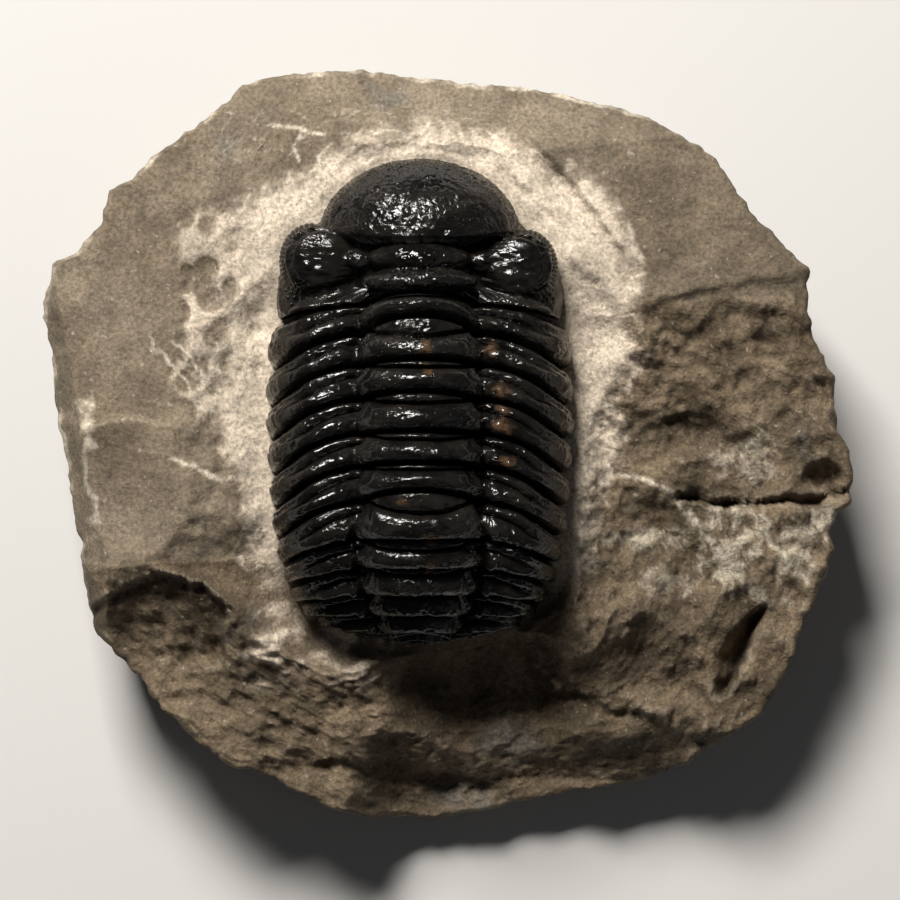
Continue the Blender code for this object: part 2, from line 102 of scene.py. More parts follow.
# Cracks and slots, each a line with its depth and half width
GROOVES = (
    (((22.6, -4.6), (26.0, -5.4), (30.3, -5.6), (35.5, -5.0), (40.5, -3.9)), 2.0, 0.8),
    (((31.8, -16.0), (30.6, -18.6)), 0.9, 0.8),
    (((5.9, -16.1), (8.6, -20.0), (10.7, -23.4)), -1.1, 1.2),
    (((-24.4, 6.0), (-21.0, 9.5), (-19.4, 15.0)), 0.5, 0.9),
)
# The wedge-shaped slot at the lower right
SLOT = ((31.4, -15.2), (29.8, -19.2), (27.4, -24.2))
SLOT_MIDDLE_Y, SLOT_REACH, SLOT_DEPTH = -20.4, 5.0, 4.4
# Scooped faces and pockets: middle, half sizes and depth
HOLLOWS = (
    ((4.5, -24.0), (11.0, 6.5), 4.2),
    ((-28.3, -18.8), (7.6, 5.0), 1.9),
    ((23.6, 1.4), (3.6, 2.4), 1.8),
    ((37.0, -2.6), (2.4, 1.6), 1.8),
    ((-21.0, 13.0), (5.4, 9.0), 0.7),
    ((20.0, -22.0), (7.5, 4.2), 1.2),
    ((-33.0, -4.0), (4.5, 6.5), 0.9),
)
# The stone's height along the line SOUTH_LINE_Y, as x and z
SOUTH_LEVEL = ((-40, 18.5), (-22, 19.6), (-11, 18.4), (-5, 15.4), (6, 15.0), (16, 17.0), (40, 16.2))
SOUTH_LINE_Y = -19
# White veins, each a line with its half width
VEINS = (
    (((22.0, -4.6), (25.4, -8.2), (28.6, -12.6), (31.8, -15.4)), 0.55),
    (((25.0, -8.0), (27.4, -12.2), (28.0, -14.6)), 0.4),
    (((30.4, -6.6), (32.6, -9.8), (34.8, -13.2)), 0.5),
    (((36.0, -6.2), (37.0, -9.0)), 0.4),
    (((22.6, -4.6), (19.4, -3.2), (16.6, -2.4)), 0.35),
    (((30.0, -3.6), (28.6, -0.4), (31.0, 2.0)), 0.3),
    (((-35.4, 3.4), (-35.6, -2.0), (-34.8, -7.0)), 0.6),
    (((-29.6, 11.0), (-26.6, 7.6), (-24.4, 5.2)), 0.3),
    (((-27.4, 10.4), (-25.2, 9.4), (-23.8, 6.4)), 0.25),
    (((-23.2, 10.8), (-23.4, 7.6)), 0.25),
    (((-26.6, -0.8), (-22.4, -3.0), (-19.8, -2.4)), 0.35),
    (((-17.2, 31.8), (-14.8, 31.4), (-12.4, 30.6)), 0.3),
    (((-14.8, 31.4), (-15.0, 28.2)), 0.3),
    (((-12.8, 28.6), (-13.8, 25.6)), 0.35),
)
# Cream mineral patches on the broken faces: middle, half sizes and strength
PALE_PATCHES = (
    (27.6, -9.6, 3.4, 4.6, 0.75), (34.4, -11.0, 2.2, 4.6, 0.6), (29.6, -1.2, 4.2, 2.6, 0.55),
    (19.0, -8.8, 6.5, 1.1, 0.6), (36.6, -7.0, 2.0, 1.6, 0.8), (21.6, -13.0, 3.2, 2.0, 0.4),
    (-36.0, 4.0, 1.2, 2.4, 0.7), (-26.0, -31.0, 3.4, 1.6, 0.5),
)


def eased(value):
    """0 up to 0 and 1 from 1 on, with a soft start and end."""
    held = np.clip(value, 0.0, 1.0)
    return held * held * (3 - 2 * held)


def smooth_through(stations, at):
    """A smooth curve through (position, value) stations that never swings past them."""
    xs = np.array([s[0] for s in sorted(stations)], float)
    ys = np.array([s[1] for s in sorted(stations)], float)
    steps = np.diff(xs)
    rises = np.diff(ys) / steps
    slopes = np.zeros(len(xs))
    slopes[0], slopes[-1] = rises[0], rises[-1]
    same = rises[:-1] * rises[1:] > 0
    total = np.where(same, rises[:-1] + rises[1:], 1.0)
    slopes[1:-1] = np.where(same, 2 * rises[:-1] * rises[1:] / total, 0.0)
    at = np.clip(np.asarray(at, float), xs[0], xs[-1])
    i = np.clip(np.searchsorted(xs, at, side="right") - 1, 0, len(xs) - 2)
    u = (at - xs[i]) / steps[i]
    return (
        (2 * u**3 - 3 * u**2 + 1) * ys[i]
        + (u**3 - 2 * u**2 + u) * steps[i] * slopes[i]
        + (3 * u**2 - 2 * u**3) * ys[i + 1]
        + (u**3 - u**2) * steps[i] * slopes[i + 1]
    )


def hashed(ix, iy, iz, seed):
    """A steady random number from 0 to 1 for each whole-number cell."""
    n = (ix.astype(np.int64) * 374761393 + iy.astype(np.int64) * 668265263 + iz.astype(np.int64) * 2147483647
         + seed * 1274126177)
    n = (n ^ (n >> 13)) * 1274126177
    n = (n ^ (n >> 16)) & 0xFFFFFF
    return n / float(0xFFFFFF)


def lumpy(x, y, z, size, seed=0):
    """Smooth noise from about -1 to 1 with features of the given size."""
    px, py, pz = x / size, y / size, z / size
    fx, fy, fz = np.floor(px), np.floor(py), np.floor(pz)
    ux, uy, uz = px - fx, py - fy, pz - fz
    sx, sy, sz = (u * u * u * (u * (u * 6 - 15) + 10) for u in (ux, uy, uz))
    total = 0.0
    for dx in (0, 1):
        for dy in (0, 1):
            for dz in (0, 1):
                cx, cy, cz = fx + dx, fy + dy, fz + dz
                gx = hashed(cx, cy, cz, seed) * 2 - 1
                gy = hashed(cx, cy, cz, seed + 1) * 2 - 1
                gz = hashed(cx, cy, cz, seed + 2) * 2 - 1
                weight = (sx if dx else 1 - sx) * (sy if dy else 1 - sy) * (sz if dz else 1 - sz)
                total = total + weight * (gx * (ux - dx) + gy * (uy - dy) + gz * (uz - dz))
    return total * 1.6


def octaves(x, y, z, size, count, seed=0, keep=0.5):
    """Noise at several sizes, each half as large as the one before."""
    total = 0.0
    for k in range(count):
        total = total + lumpy(x, y, z, size / 2**k, seed + 7 * k) * keep**k
    return total


def scoops(x, y, size, seed, bowl=1.2, tilt=0.7):
    """Broken scoops that meet in sharp ridges, from about -1 to 1, each scoop about one size across."""
    px, py = x / size, y / size
    fx, fy = np.floor(px), np.floor(py)
    lowest = np.full(np.shape(px), 9.0)
    for dx in (-1, 0, 1):
        for dy in (-1, 0, 1):
            cx, cy = fx + dx, fy + dy
            zero = np.zeros_like(cx)
            ax = px - cx - 0.15 - 0.7 * hashed(cx, cy, zero, seed)
            ay = py - cy - 0.15 - 0.7 * hashed(cx, cy, zero, seed + 1)
            gx = (hashed(cx, cy, zero, seed + 2) * 2 - 1) * tilt
            gy = (hashed(cx, cy, zero, seed + 3) * 2 - 1) * tilt
            base = hashed(cx, cy, zero, seed + 4) * 0.6
            lowest = np.minimum(lowest, base + gx * ax + gy * ay + bowl * (ax * ax + ay * ay))
    return lowest * 1.6 - 0.9


def beside(path, x, y):
    """Where points lie by a line: how far off, how far to its right, and how far beyond its ends."""
    best = np.full(np.shape(x), 1e9)
    side = np.zeros(np.shape(x))
    past = np.zeros(np.shape(x))
    last = len(path) - 2
    for k, ((ax, ay), (bx, by)) in enumerate(zip(path, path[1:])):
        ex, ey = bx - ax, by - ay
        length = math.hypot(ex, ey)
        along = ((x - ax) * ex + (y - ay) * ey) / length
        right = ((x - ax) * ey - (y - ay) * ex) / length
        held = np.clip(along, 0, length)
        off = np.hypot(x - ax - ex * held / length, y - ay - ey * held / length)
        beyond = np.maximum(0, np.maximum(-along if k == 0 else 0, along - length if k == last else 0))
        nearer = off < best
        best = np.where(nearer, off, best)
        side = np.where(nearer, right, side)
        past = np.where(nearer, beyond, past)
    return best, side, past


def bed_height(y):
    """The floor of the trough under the trilobite: level, then falling away under the tail."""
    return BED_Z + BED_FALL * np.minimum(0.0, y - BED_BREAK_Y)


def body_reach(across, along):
    """How far the trilobite's outline is from its middle, in directions given across and along it."""
    return smooth_through(BODY_REACH, np.degrees(np.arctan2(along, np.abs(across))))


def body_outline(angle, grow=1.0):
    """Points of the trilobite's outline in plan, in directions from its middle."""
    across, along = np.cos(angle), np.sin(angle)
    reach = grow * body_reach(across, along)
    return BODY_X + reach * across, BODY_MIDDLE_Y + reach * along


def body_distance(x, y):
    """Roughly how far a point lies outside the trilobite's outline, in plan."""
    across, along = x - BODY_X, y - BODY_MIDDLE_Y
    far = np.maximum(np.hypot(across, along), 1e-6)
    slant = 2 * across * along / far**2
    return (far - body_reach(across, along)) * (1 - 0.24 * slant**2)


def outline_radius(angle):
    """The stone's outline radius in each direction, straight between its points as a broken edge is."""
    points = np.array(OUTLINE)
    angles = np.unwrap(np.arctan2(points[:, 1], points[:, 0]))
    turn = (angle - angles[0]) % (2 * math.pi) + angles[0]
    steps = np.append(angles, angles[0] + 2 * math.pi)
    k = np.clip(np.searchsorted(steps, turn, side="right") - 1, 0, len(points) - 1)
    a = points[k]
    edge = points[(k + 1) % len(points)] - a
    cross = np.cos(angle) * edge[:, 1] - np.sin(angle) * edge[:, 0]
    return (a[:, 0] * edge[:, 1] - a[:, 1] * edge[:, 0]) / cross


def worked_relief(x, y):
    """Ledges, cracks and scoops, as a height to add to the stone's broken faces."""
    height = np.zeros(np.shape(x))
    wander_x = x + octaves(x, y, 0 * x, 4.0, 3, 900) * 0.7
    wander_y = y + octaves(x, y, 0 * x, 4.0, 3, 950) * 0.7
    for path, drop, width, reach in LEDGES:
        _, right, beyond = beside(path, wander_x, wander_y)
        side = eased((right + width / 2) / width) * np.clip(1 - np.maximum(0.0, right) / reach, 0, 1)
        height -= drop * side * (1 - eased(beyond / 6))
    for path, depth, width in GROOVES:
        off, _, _ = beside(path, wander_x, wander_y)
        uneven = 0.75 + 0.5 * lumpy(x, y, 0 * x, 2.6, 970)
        height -= depth * uneven * (1 - eased(off / (width * uneven)))
    off, right, _ = beside(SLOT, x * 0.5 + wander_x * 0.5, y * 0.5 + wander_y * 0.5)
    swell = hump(y, SLOT_MIDDLE_Y, SLOT_REACH)
    wide = np.where(right > 0, 0.4 + 2.6 * swell, 0.6)
    height -= SLOT_DEPTH * np.sqrt(swell) * eased(1 - off / wide)
    for (cx, cy), (rx, ry), depth in HOLLOWS:
        height -= depth * np.clip(1 - ((x - cx) / rx) ** 2 - ((y - cy) / ry) ** 2, 0, 1)
    return height


def stone_fields(x, y):
    """The height of the stone's top, and where it is freshly broken, pale from tools, and veined."""
    zero = np.zeros(np.shape(x))
    left_field = 24.2 + 0.07 * (x + 12)
    right_field = 24.6 - 0.05 * (x - 12)
    far_slope = 24.3 - 0.5 * (y - 30.2)
    left_wall = 22.2 - 2.0 * (-(x + 37.6) * 0.985 - (y - 10.3) * 0.173)
    break_face = 23.8 - 0.333 * ((x - 17.2) * 0.258 - (y - 12.5) * 0.966)
    lower_face = 18.6 + 0.2 * (y + 5) - 0.04 * (x - 25)
    bank = 15.0 + octaves(x, y, zero, 5.0, 4, 45) * 2.0 - x
    right_side = np.maximum(break_face, lower_face) + 0.55 * np.maximum(0.0, bank)
    steep = 0.1 + 0.6 * eased((x + 12) / 8) * (1 - eased((x - 20) / 8))
    step_down = np.clip(-28.2 - y, 0, 5.0) * 1.6 + np.clip(-26.5 - y, 0, 1.7) * 0.4
    step_down = step_down + np.maximum(-33.2 - y, 0) * 0.2
    level = smooth_through(SOUTH_LEVEL, x)
    south = level + BED_FALL * (np.maximum(y, -24.5) - SOUTH_LINE_Y) - steep * step_down
    wave = octaves(x, y, zero, 9.0, 2, 40) * 0.5
    smooth_face = np.minimum(np.minimum(left_field, right_field), far_slope)
    rough_face = np.minimum(right_side, south) + wave
    fresh = eased((smooth_face - rough_face) / 0.5 + 0.5)
    outer = np.minimum(np.minimum(smooth_face, left_wall), rough_face) + worked_relief(x, y)
    away = body_distance(x, y)
    ragged = away + octaves(x, y, zero, 4.0, 4, 60, 0.62) * 1.3
    slope = 0.42 - 0.12 * eased((y - 15) / 10) + 0.9 * eased((-11 - y) / 5)
    lip = 3.7 * eased((y - 11) / 9) * eased((away + 1.9) / 1.3)
    trough = bed_height(y) + lip + slope * np.maximum(0.0, away - 0.3)
    trough = trough + octaves(x, y, zero, 3.0, 3, 66) * 0.35 * eased((away + 1.0) / 1.5)
    worked = eased((outer - trough) / 0.6 + 0.5)
    height = np.minimum(outer, trough)

    bent = octaves(x, y, zero, 3.0, 3, 35) * 1.4
    broken = scoops(x + bent * 2, y + bent, 9.0, 3) * 0.7
    broken = broken + scoops(x + bent, y - bent, 3.8, 11, 1.0, 1.3) * 0.35
    broken = broken + octaves(x, y, zero, 5.0, 5, 31, 0.62) * 0.8
    broken = broken + octaves(x, y, zero, 0.8, 2, 33, 0.7) * 0.16
    weathered = octaves(x, y, zero, 6.0, 3, 71) * 0.28 + octaves(x, y, zero, 0.8, 2, 81) * 0.04
    pits = np.clip(lumpy(x, y, zero, 1.1, 91) - 0.42, 0, 1) * 0.5
    chisel = scoops(x * 0.9, y * 1.1, 2.1, 101, 1.0, 0.5) * 0.16 + octaves(x, y, zero, 0.6, 2, 111) * 0.045
    plain = weathered - pits
    texture = plain * (1 - fresh) + broken * fresh
    texture = texture * (1 - worked) + chisel * worked
    close = eased((away + 1.0) / 2.4)
    cells = eased(scoops(x, y, 2.5, 401, 1.5, 0.3) * 0.7 + 0.6)
    celled = eased((ragged - 2.5) / 1.5) * (1 - eased((ragged - 7) / 2)) * eased((-12 - x) / 2)
    celled = celled * eased((y - 1) / 3) * (1 - eased((y - 22) / 3))
    texture = texture - 0.55 * celled * (1 - cells)
    around = np.arctan2(y + 15.0, x - 12.0) + octaves(x, y, zero, 5.0, 3, 415) * 0.045
    stroke = 1 - np.abs(lumpy(around * 17, np.hypot(x - 12, y + 15) * 0.13, zero, 1.0, 411)) * 3.0
    stroke = np.maximum(stroke, 0) * eased(lumpy(x, y, zero, 2.4, 421) * 1.5 + 0.65)
    stroked = eased((x + 21.5) / 3) * (1 - eased((x + 7) / 3)) * eased((-14.0 - y) / 2) * eased((y + 25) / 4)
    stroked = stroked * eased(octaves(x, y, zero, 3.0, 3, 425) * 1.6 + 0.75)
    texture = texture + 0.6 * stroked * stroke
    height = height + texture * close

    # Pale ground worked by tools, ragged at its outer edge
    wide = 4.9 + 0.9 * eased((x - 8) / 6) * eased((y - 3) / 8)
    wide = wide - 1.8 * eased((y - 22) / 6) * (1 - 0.7 * eased(x / 6))
    wide = wide - 2.4 * eased((2 - y) / 8)
    chalk = 1 - eased((ragged - wide + 0.7) / 1.1)
    strand = 1 - eased(np.abs(octaves(x, y, zero, 2.6, 2, 431)) / 0.22)
    chalk = chalk * (1 - 0.7 * eased((ragged - wide + 2.2) / 1.8) * (1 - strand))
    chalk = chalk * eased((y + 16) / 6)
    chalk = np.maximum(chalk, stroked * (0.2 + 0.7 * eased(stroke * 1.4)))
    chalk = np.maximum(chalk * (1 - 0.75 * celled * (1 - cells)), 0.8 * celled * eased((cells - 0.55) / 0.3))
    veil = np.abs(lumpy(x, y, zero, 4.2, 141) + 0.3 * lumpy(x, y, zero, 1.4, 151))
    net = (1 - eased(veil / 0.04)) * celled * 0.35
    far_net = (1 - eased(veil / 0.035)) * eased((y - 27) / 2) * (1 - eased((y - 32.5) / 2))
    far_net = far_net * (1 - eased((x - 6) / 6)) * 0.3
    streaks = zero
    strayed = x + octaves(x, y, zero, 2.0, 3, 161) * 0.9
    for path, width in VEINS:
        off, _, _ = beside(path, strayed, y)
        streaks = np.maximum(streaks, 1 - eased(off / width))
    blotched = octaves(x, y, zero, 2.4, 4, 441, 0.7) * 1.5
    for cx, cy, reach_x, reach_y, strength in PALE_PATCHES:
        near = 1 - np.hypot((x - cx) / reach_x, (y - cy) / reach_y)
        streaks = np.maximum(streaks, strength * eased(near * 1.4 + blotched) * eased(near * 3 + 0.6))
    veins = np.clip(np.maximum.reduce([net, far_net, streaks * 0.85]), 0, 1)
    return height, fresh, np.clip(chalk, 0, 1), veins


def mesh_object(name, verts, faces, attributes, material, smooth=True):
    """A mesh object in metres from millimetre points, with numbers stored on its points."""
    mesh = bpy.data.meshes.new(name)
    mesh.from_pydata((np.asarray(verts) * MM).tolist(), [], faces)
    for key, values in attributes.items():
        layer = mesh.attributes.new(key, "FLOAT", "POINT")
        layer.data.foreach_set("value", np.ascontiguousarray(values, np.float32))
    mesh.materials.append(material)
    if smooth:
        mesh.shade_smooth()
    mesh.update()
    obj = bpy.data.objects.new(name, mesh)
    bpy.context.scene.collection.objects.link(obj)
    return obj


def grid_faces(rows, columns, wrap=False):
    """Four-cornered faces over points laid out in rows."""
    wide = columns if wrap else columns - 1
    r, c = np.meshgrid(np.arange(rows - 1), np.arange(wide), indexing="ij")
    a = (r * columns + c).ravel()
    b = (r * columns + (c + 1) % columns).ravel()
    return np.stack([a, b, b + columns, a + columns], 1).tolist()


def neighbour_rise(z, wrap):
    """How far each point of a grid stands above its neighbours two steps away."""
    padded = np.pad(z, ((2, 2), (0, 0)), mode="edge")
    sideways = np.roll(z, 2, 1) + np.roll(z, -2, 1) if wrap else np.pad(z, ((0, 0), (2, 2)), mode="edge")
    if not wrap:
        sideways = sideways[:, 4:] + sideways[:, :-4]
    return z - (padded[4:] + padded[:-4] + sideways) / 4


def make_stone(material):
    """The stone: bed, broken and worked top, side and flat underside."""
    angle = np.arange(STONE_SPOKES) * 2 * math.pi / STONE_SPOKES
    radius = outline_radius(angle)
    ex, ey = radius * np.cos(angle), radius * np.sin(angle)
    nibble = np.abs(octaves(ex, ey, 0 * ex, 2.6, 3, 201)) * 0.5
    nibble = nibble + np.clip(lumpy(ex, ey, 0 * ex, 5.0, 211), 0, 1) * 0.6
    held = 1 - nibble / radius
    ex, ey = ex * held, ey * held
    ix, iy = body_outline(angle)
    xs, ys = [], []
    for k in range(BED_RINGS):
        grow = (k + 1) / BED_RINGS * 0.985
        bx, by = body_outline(angle, grow)
        xs.append(bx)
        ys.append(by)
    for k in range(1, TOP_RINGS + 1):
        share = k / TOP_RINGS
        xs.append(ix + (ex - ix) * share)
        ys.append(iy + (ey - iy) * share)
    x, y = np.array(xs), np.array(ys)
    z, fresh, chalk, veins = stone_fields(x, y)
    rim_drop = np.zeros(z.shape)
    rim_drop[-1], rim_drop[-2], rim_drop[-3] = 0.55, 0.2, 0.05
    z = z - rim_drop
    from_rim = np.hypot(ex - x, ey - y)
    bare_side = eased((ex * -0.6 + ey * 0.75 - 6) / 12)
    chipped = octaves(x, y, 0 * x, 3.0, 3, 221) * 0.5 + 0.55
    bare = (1 - eased((from_rim - 0.1 - 0.35 * chipped * bare_side) / 0.35)) * bare_side * 0.75
    bare = bare * eased(octaves(x, y, 0 * x, 4.0, 3, 225) * 2 + 0.35)

    down = np.linspace(0, 1, SIDE_RINGS + 1)[1:]
    side_x, side_y, side_z = [], [], []
    rim_z = z[-1]
    shares = np.array([s[0] for s in SIDE])[::-1]
    reaches = np.array([s[1] for s in SIDE])[::-1]
    for d in down:
        level = 1 - d
        reach = np.interp(level, shares, reaches)
        zz = rim_z * level
        around = angle * 38
        bites = (scoops(around, zz * 1.3, 7.0, 231) * 0.5 + 0.5) * 0.9
        bites = bites + (scoops(around, zz, 2.6, 241) * 0.5 + 0.5) * 0.45
        bites = bites + np.abs(octaves(ex, ey, zz, 1.2, 2, 251)) * 0.2
        bites = bites + octaves(ex, ey, zz, 4.5, 4, 261, 0.62) * 0.6
        bites = bites * min(1.0, d * 6) * min(1.0, level * 8 + 0.3)
        inward = reach - np.maximum(bites, 0) / radius
        kept = radius * (1 - nibble / radius * (1 - min(1.0, d * 3)))
        side_x.append(kept * np.cos(angle) * inward)
        side_y.append(kept * np.sin(angle) * inward)
        side_z.append(zz)
    x = np.vstack([x, side_x])
    y = np.vstack([y, side_y])
    z = np.vstack([z, side_z])
    ones = np.ones((SIDE_RINGS, STONE_SPOKES))
    fresh = np.vstack([fresh, ones])
    chalk = np.vstack([chalk, 0 * ones])
    veins = np.vstack([veins, 0 * ones])
    bare = np.vstack([bare, 0 * ones])
    rise = neighbour_rise(z, True)
    rise[-SIDE_RINGS - 3:] = 0
    rings = len(z)
    verts = np.stack([x.ravel(), y.ravel(), z.ravel()], 1)
    middle = len(verts)
    verts = np.vstack([verts, [[BODY_X, BODY_MIDDLE_Y, float(bed_height(np.array(BODY_MIDDLE_Y)))]]])
    faces = [[d, c, b, a] for a, b, c, d in grid_faces(rings, STONE_SPOKES, wrap=True)]
    faces += [[middle, i, (i + 1) % STONE_SPOKES] for i in range(STONE_SPOKES)]
    faces.append([(rings - 1) * STONE_SPOKES + i for i in range(STONE_SPOKES)][::-1])
    attributes = {
        "fresh": np.append(fresh.ravel(), 0),
        "chalk": np.append(chalk.ravel(), 1),
        "veins": np.append(np.maximum(veins, bare).ravel(), 0),
        "rise": np.append(rise.ravel(), 0),
    }
    return mesh_object("stone", verts, faces, attributes, material)


def smooth_body(joint, side):
    """The smooth body at joint numbers and sides from -1, the left margin, over 0, the crest, to 1."""
    half = smooth_through(HALF_WIDTH, joint)
    axis = smooth_through(AXIS_HALF, joint)
    fulcrum = smooth_through(FULCRUM, joint)
    rise = smooth_through(RING_RISE, joint)
    crest_y = smooth_through(CREST_Y, joint)
    crest_z = smooth_through(CREST, crest_y)
    margin_y = smooth_through(MARGIN_Y, joint)
    margin_z = bed_height(margin_y) + MARGIN_Z_OVER_BED
    across = np.abs(side)
    ring_turn = np.clip(across / AXIAL_SHARE, 0, 1) * RING_TURN
    inner = np.clip((across - AXIAL_SHARE) / (FULCRUM_SHARE - AXIAL_SHARE), 0, 1)
    turn = np.clip((across - FULCRUM_SHARE) / (1 - FULCRUM_SHARE), 0, 1) * FLANK_TURN
    fall = (1 - np.cos(turn)) / (1 - math.cos(FLANK_TURN))
    x = axis * np.sin(ring_turn) / math.sin(RING_TURN) + (fulcrum - axis) * inner
    x = x + (half - fulcrum) * np.sin(turn) / math.sin(FLANK_TURN)
    drop = rise * (1 - np.cos(ring_turn)) / (1 - math.cos(RING_TURN)) + (crest_z - margin_z - rise) * fall
    sweep = np.clip((x - axis) / (half - axis), 0, 1) ** SWEEP_CURVE
    bow = smooth_through(RING_BOW, joint) * np.minimum(1.0, (x / axis) ** 2)
    y = (crest_y - bow) * (1 - sweep) + margin_y * sweep
    return np.stack([BODY_X + np.sign(side) * x, y, crest_z - drop], -1)


def body_with_normal(joint, side):
    """The smooth body and its outward direction."""
    step = 0.004
    place = smooth_body(joint, side)
    along = smooth_body(joint + step, side) - smooth_body(joint - step, side)
    across = smooth_body(joint, np.clip(side + step, -1, 1)) - smooth_body(joint, np.clip(side - step, -1, 1))
    normal = np.cross(across, -along)
    return place, normal / np.maximum(np.linalg.norm(normal, axis=-1, keepdims=True), 1e-9)


def hump(value, middle, width, power=2.0):
    """1 at the middle and 0 at a width to either side, with a round top."""
    return np.maximum(0, 1 - np.abs((value - middle) / width) ** power)


PLATE_ROWS, TAIL_ROWS, PLATE_COLUMNS = 56, 84, 236
# Share of each segment's length that its smooth half ring shows, counted from the head
HALF_RING = (0.14, 0.46, 0.2, 0.26, 0.24, 0.22, 0.46, 0.34, 0.2, 0.2, 0.15)


def plate_profile(share, side, index, along_mm):
    """How far one thorax plate stands out from the smooth body, and how granular it is."""
    shaky = lumpy(side * 9, share * 1.5 + index * 5, 0 * side, 1.0, 501)
    share = np.clip(share + 0.035 * shaky * hump(share, 0.5, 0.5), 0, 1)
    across = np.abs(side) + 0.012 * lumpy(share * 3 + index, np.sign(side) * 4, 0 * side, 1.0, 511)
    half_ring = HALF_RING[index]
    lens = np.maximum(0.0, 1 - (across / (AXIAL_SHARE * 0.78)) ** 2)
    start = 0.05 + half_ring * lens
    low_ring = 0.05 + 0.55 * np.sqrt(hump(share, start * 0.5 + 0.01, start * 0.55 + 0.02)) * lens
    ends = 1 - 0.85 * np.clip(across / AXIAL_SHARE, 0, 1.05) ** 3
    ring = 0.05 + 1.35 * hump(share, (start + 1) / 2 + 0.03, (1 - start) / 2 + 0.03) ** 0.7 * ends
    furrow = -0.6 * hump(share, start - 0.01, 0.07)
    axial = np.where(share < start, low_ring, ring) + furrow
    axial = axial - 0.5 * hump(across, AXIAL_SHARE * 0.72, 0.05) * hump(share, 0.3, 0.3)
    out = np.clip((across - AXIAL_SHARE) / (FULCRUM_SHARE - AXIAL_SHARE), 0, 2.6)
    furrow_at = 0.27 + 0.15 * np.minimum(out, 1.5)
    front_band = 0.55 * np.sqrt(hump(share, furrow_at / 2 + 0.03, furrow_at / 2 - 0.01))
    rear_middle = (furrow_at + 1) / 2 + 0.02
    rear_band = 1.05 * np.sqrt(hump(share, rear_middle, (1 - furrow_at) / 2 - 0.02))
    pleura = -0.35 + np.maximum(front_band, rear_band)
    flank = eased((across - 0.58) / 0.2)
    rib = -0.3 + 0.95 * np.sqrt(hump(share, 0.56, 0.43)) - 0.2 * hump(share, 0.38, 0.1)
    pleura = pleura * (1 - flank) + rib * flank
    knob = 0.3 * hump(across, AXIAL_SHARE + 0.065, 0.04) * hump(share, 0.72, 0.26)
    edge_at = AXIAL_SHARE + 0.028 * np.cos((share - 0.66) * 2 * math.pi)
    axis_share = 1 - eased((across - edge_at + 0.045) / 0.07)
    relief = axial * axis_share + (pleura + knob) * (1 - axis_share)
    relief = relief - 0.6 * hump(across, edge_at, 0.055) * (1 - 0.7 * hump(share, 0.68, 0.3))
    front_mm, back_mm = share * along_mm, (1 - share) * along_mm
    edge = 1.3 * (1 - np.sqrt(1 - (1 - np.clip(front_mm / 0.4, 0, 1)) ** 2))
    edge = edge + 1.3 * (1 - np.sqrt(1 - (1 - np.clip(back_mm / 0.45, 0, 1)) ** 2))
    grains = axis_share * eased((share - start - 0.05) / 0.08)
    grains = grains + (1 - axis_share) * (1 - flank) * 0.25 * hump(share, rear_middle, 0.25)
    return relief - edge, grains * (back_mm > 0.3)


# Bronze-brown patches where the black skin is thin, as x, y and radius
BRONZE = ((4.0, 9.7, 0.9), (5.0, 5.7, 1.1), (5.2, 3.9, 0.8), (5.0, 2.1, 1.3), (5.5, -1.1, 0.9),
          (-2.4, 9.8, 0.8), (-2.3, 7.6, 0.6), (-1.9, -8.7, 0.9), (-1.9, -11.6, 0.8), (-4.6, -4.9, 0.6),
          (-7.4, 2.0, 0.5))
# Broken or gritty ground on the fossil, as x, y, radius and depth
DAMAGE = (
    (-3.4, 11.3, 2.2, 0.35), (-3.0, -13.6, 3.2, 0.3), (-9.6, -12.4, 1.3, 0.3), (-8.8, 12.6, 1.5, 0.15),
    (5.6, 12.2, 1.8, 0.2), (-13.0, 18.3, 3.4, 0.3), (7.2, 17.8, 3.4, 0.3), (-3.0, 18.6, 3.6, 0.3),
    (-4.5, 22.0, 4.6, 0.16), (-3.0, 16.0, 3.4, 0.2), (-9.2, 18.2, 2.2, 0.3), (3.4, 18.0, 2.2, 0.3),
    (-11.5, 14.6, 3.2, 0.25), (6.2, 14.4, 3.4, 0.25), (5.6, 4.0, 2.4, 0.2), (6.5, -8.5, 3.0, 0.25),
    (-9.5, -4.0, 2.0, 0.1),
)


def aged(points, normals):
    """Wrinkles, nicks and broken places, as a shift along the normals."""
    x, y, z = points[..., 0], points[..., 1], points[..., 2]
    shift = octaves(x, y, z, 1.6, 4, 301, 0.6) * 0.1
    wrinkle = np.abs(octaves(x * 0.7, y * 1.5, z, 1.3, 2, 351))
    shift = shift - 0.11 * (1 - eased(wrinkle / 0.13)) * eased(lumpy(x, y, z, 3.0, 361) * 2 + 0.5)
    nick = np.clip(lumpy(x, y, z, 0.9, 321) - 0.5, 0, 1) * 0.5
    shift = shift - nick
    for cx, cy, reach, depth in DAMAGE:
        near = 1 - eased(np.hypot(x - cx, y - cy) / reach)
        rough = np.abs(octaves(x, y, z, 1.1, 3, 331, 0.6)) - 0.3
        shift = shift + near * depth * rough * 1.6
    return points + normals * shift[..., None]


def bronze_at(x, y, z):
    """Where the skin is thin and brown."""
    bronze = np.zeros(np.shape(x))
    for cx, cy, reach in BRONZE:
        ragged = np.hypot(x - cx, y - cy) + lumpy(x, y, z, 0.8, 341) * 0.5
        bronze = np.maximum(bronze, 1 - eased((ragged - reach * 0.4) / (reach * 0.6)))
    return bronze


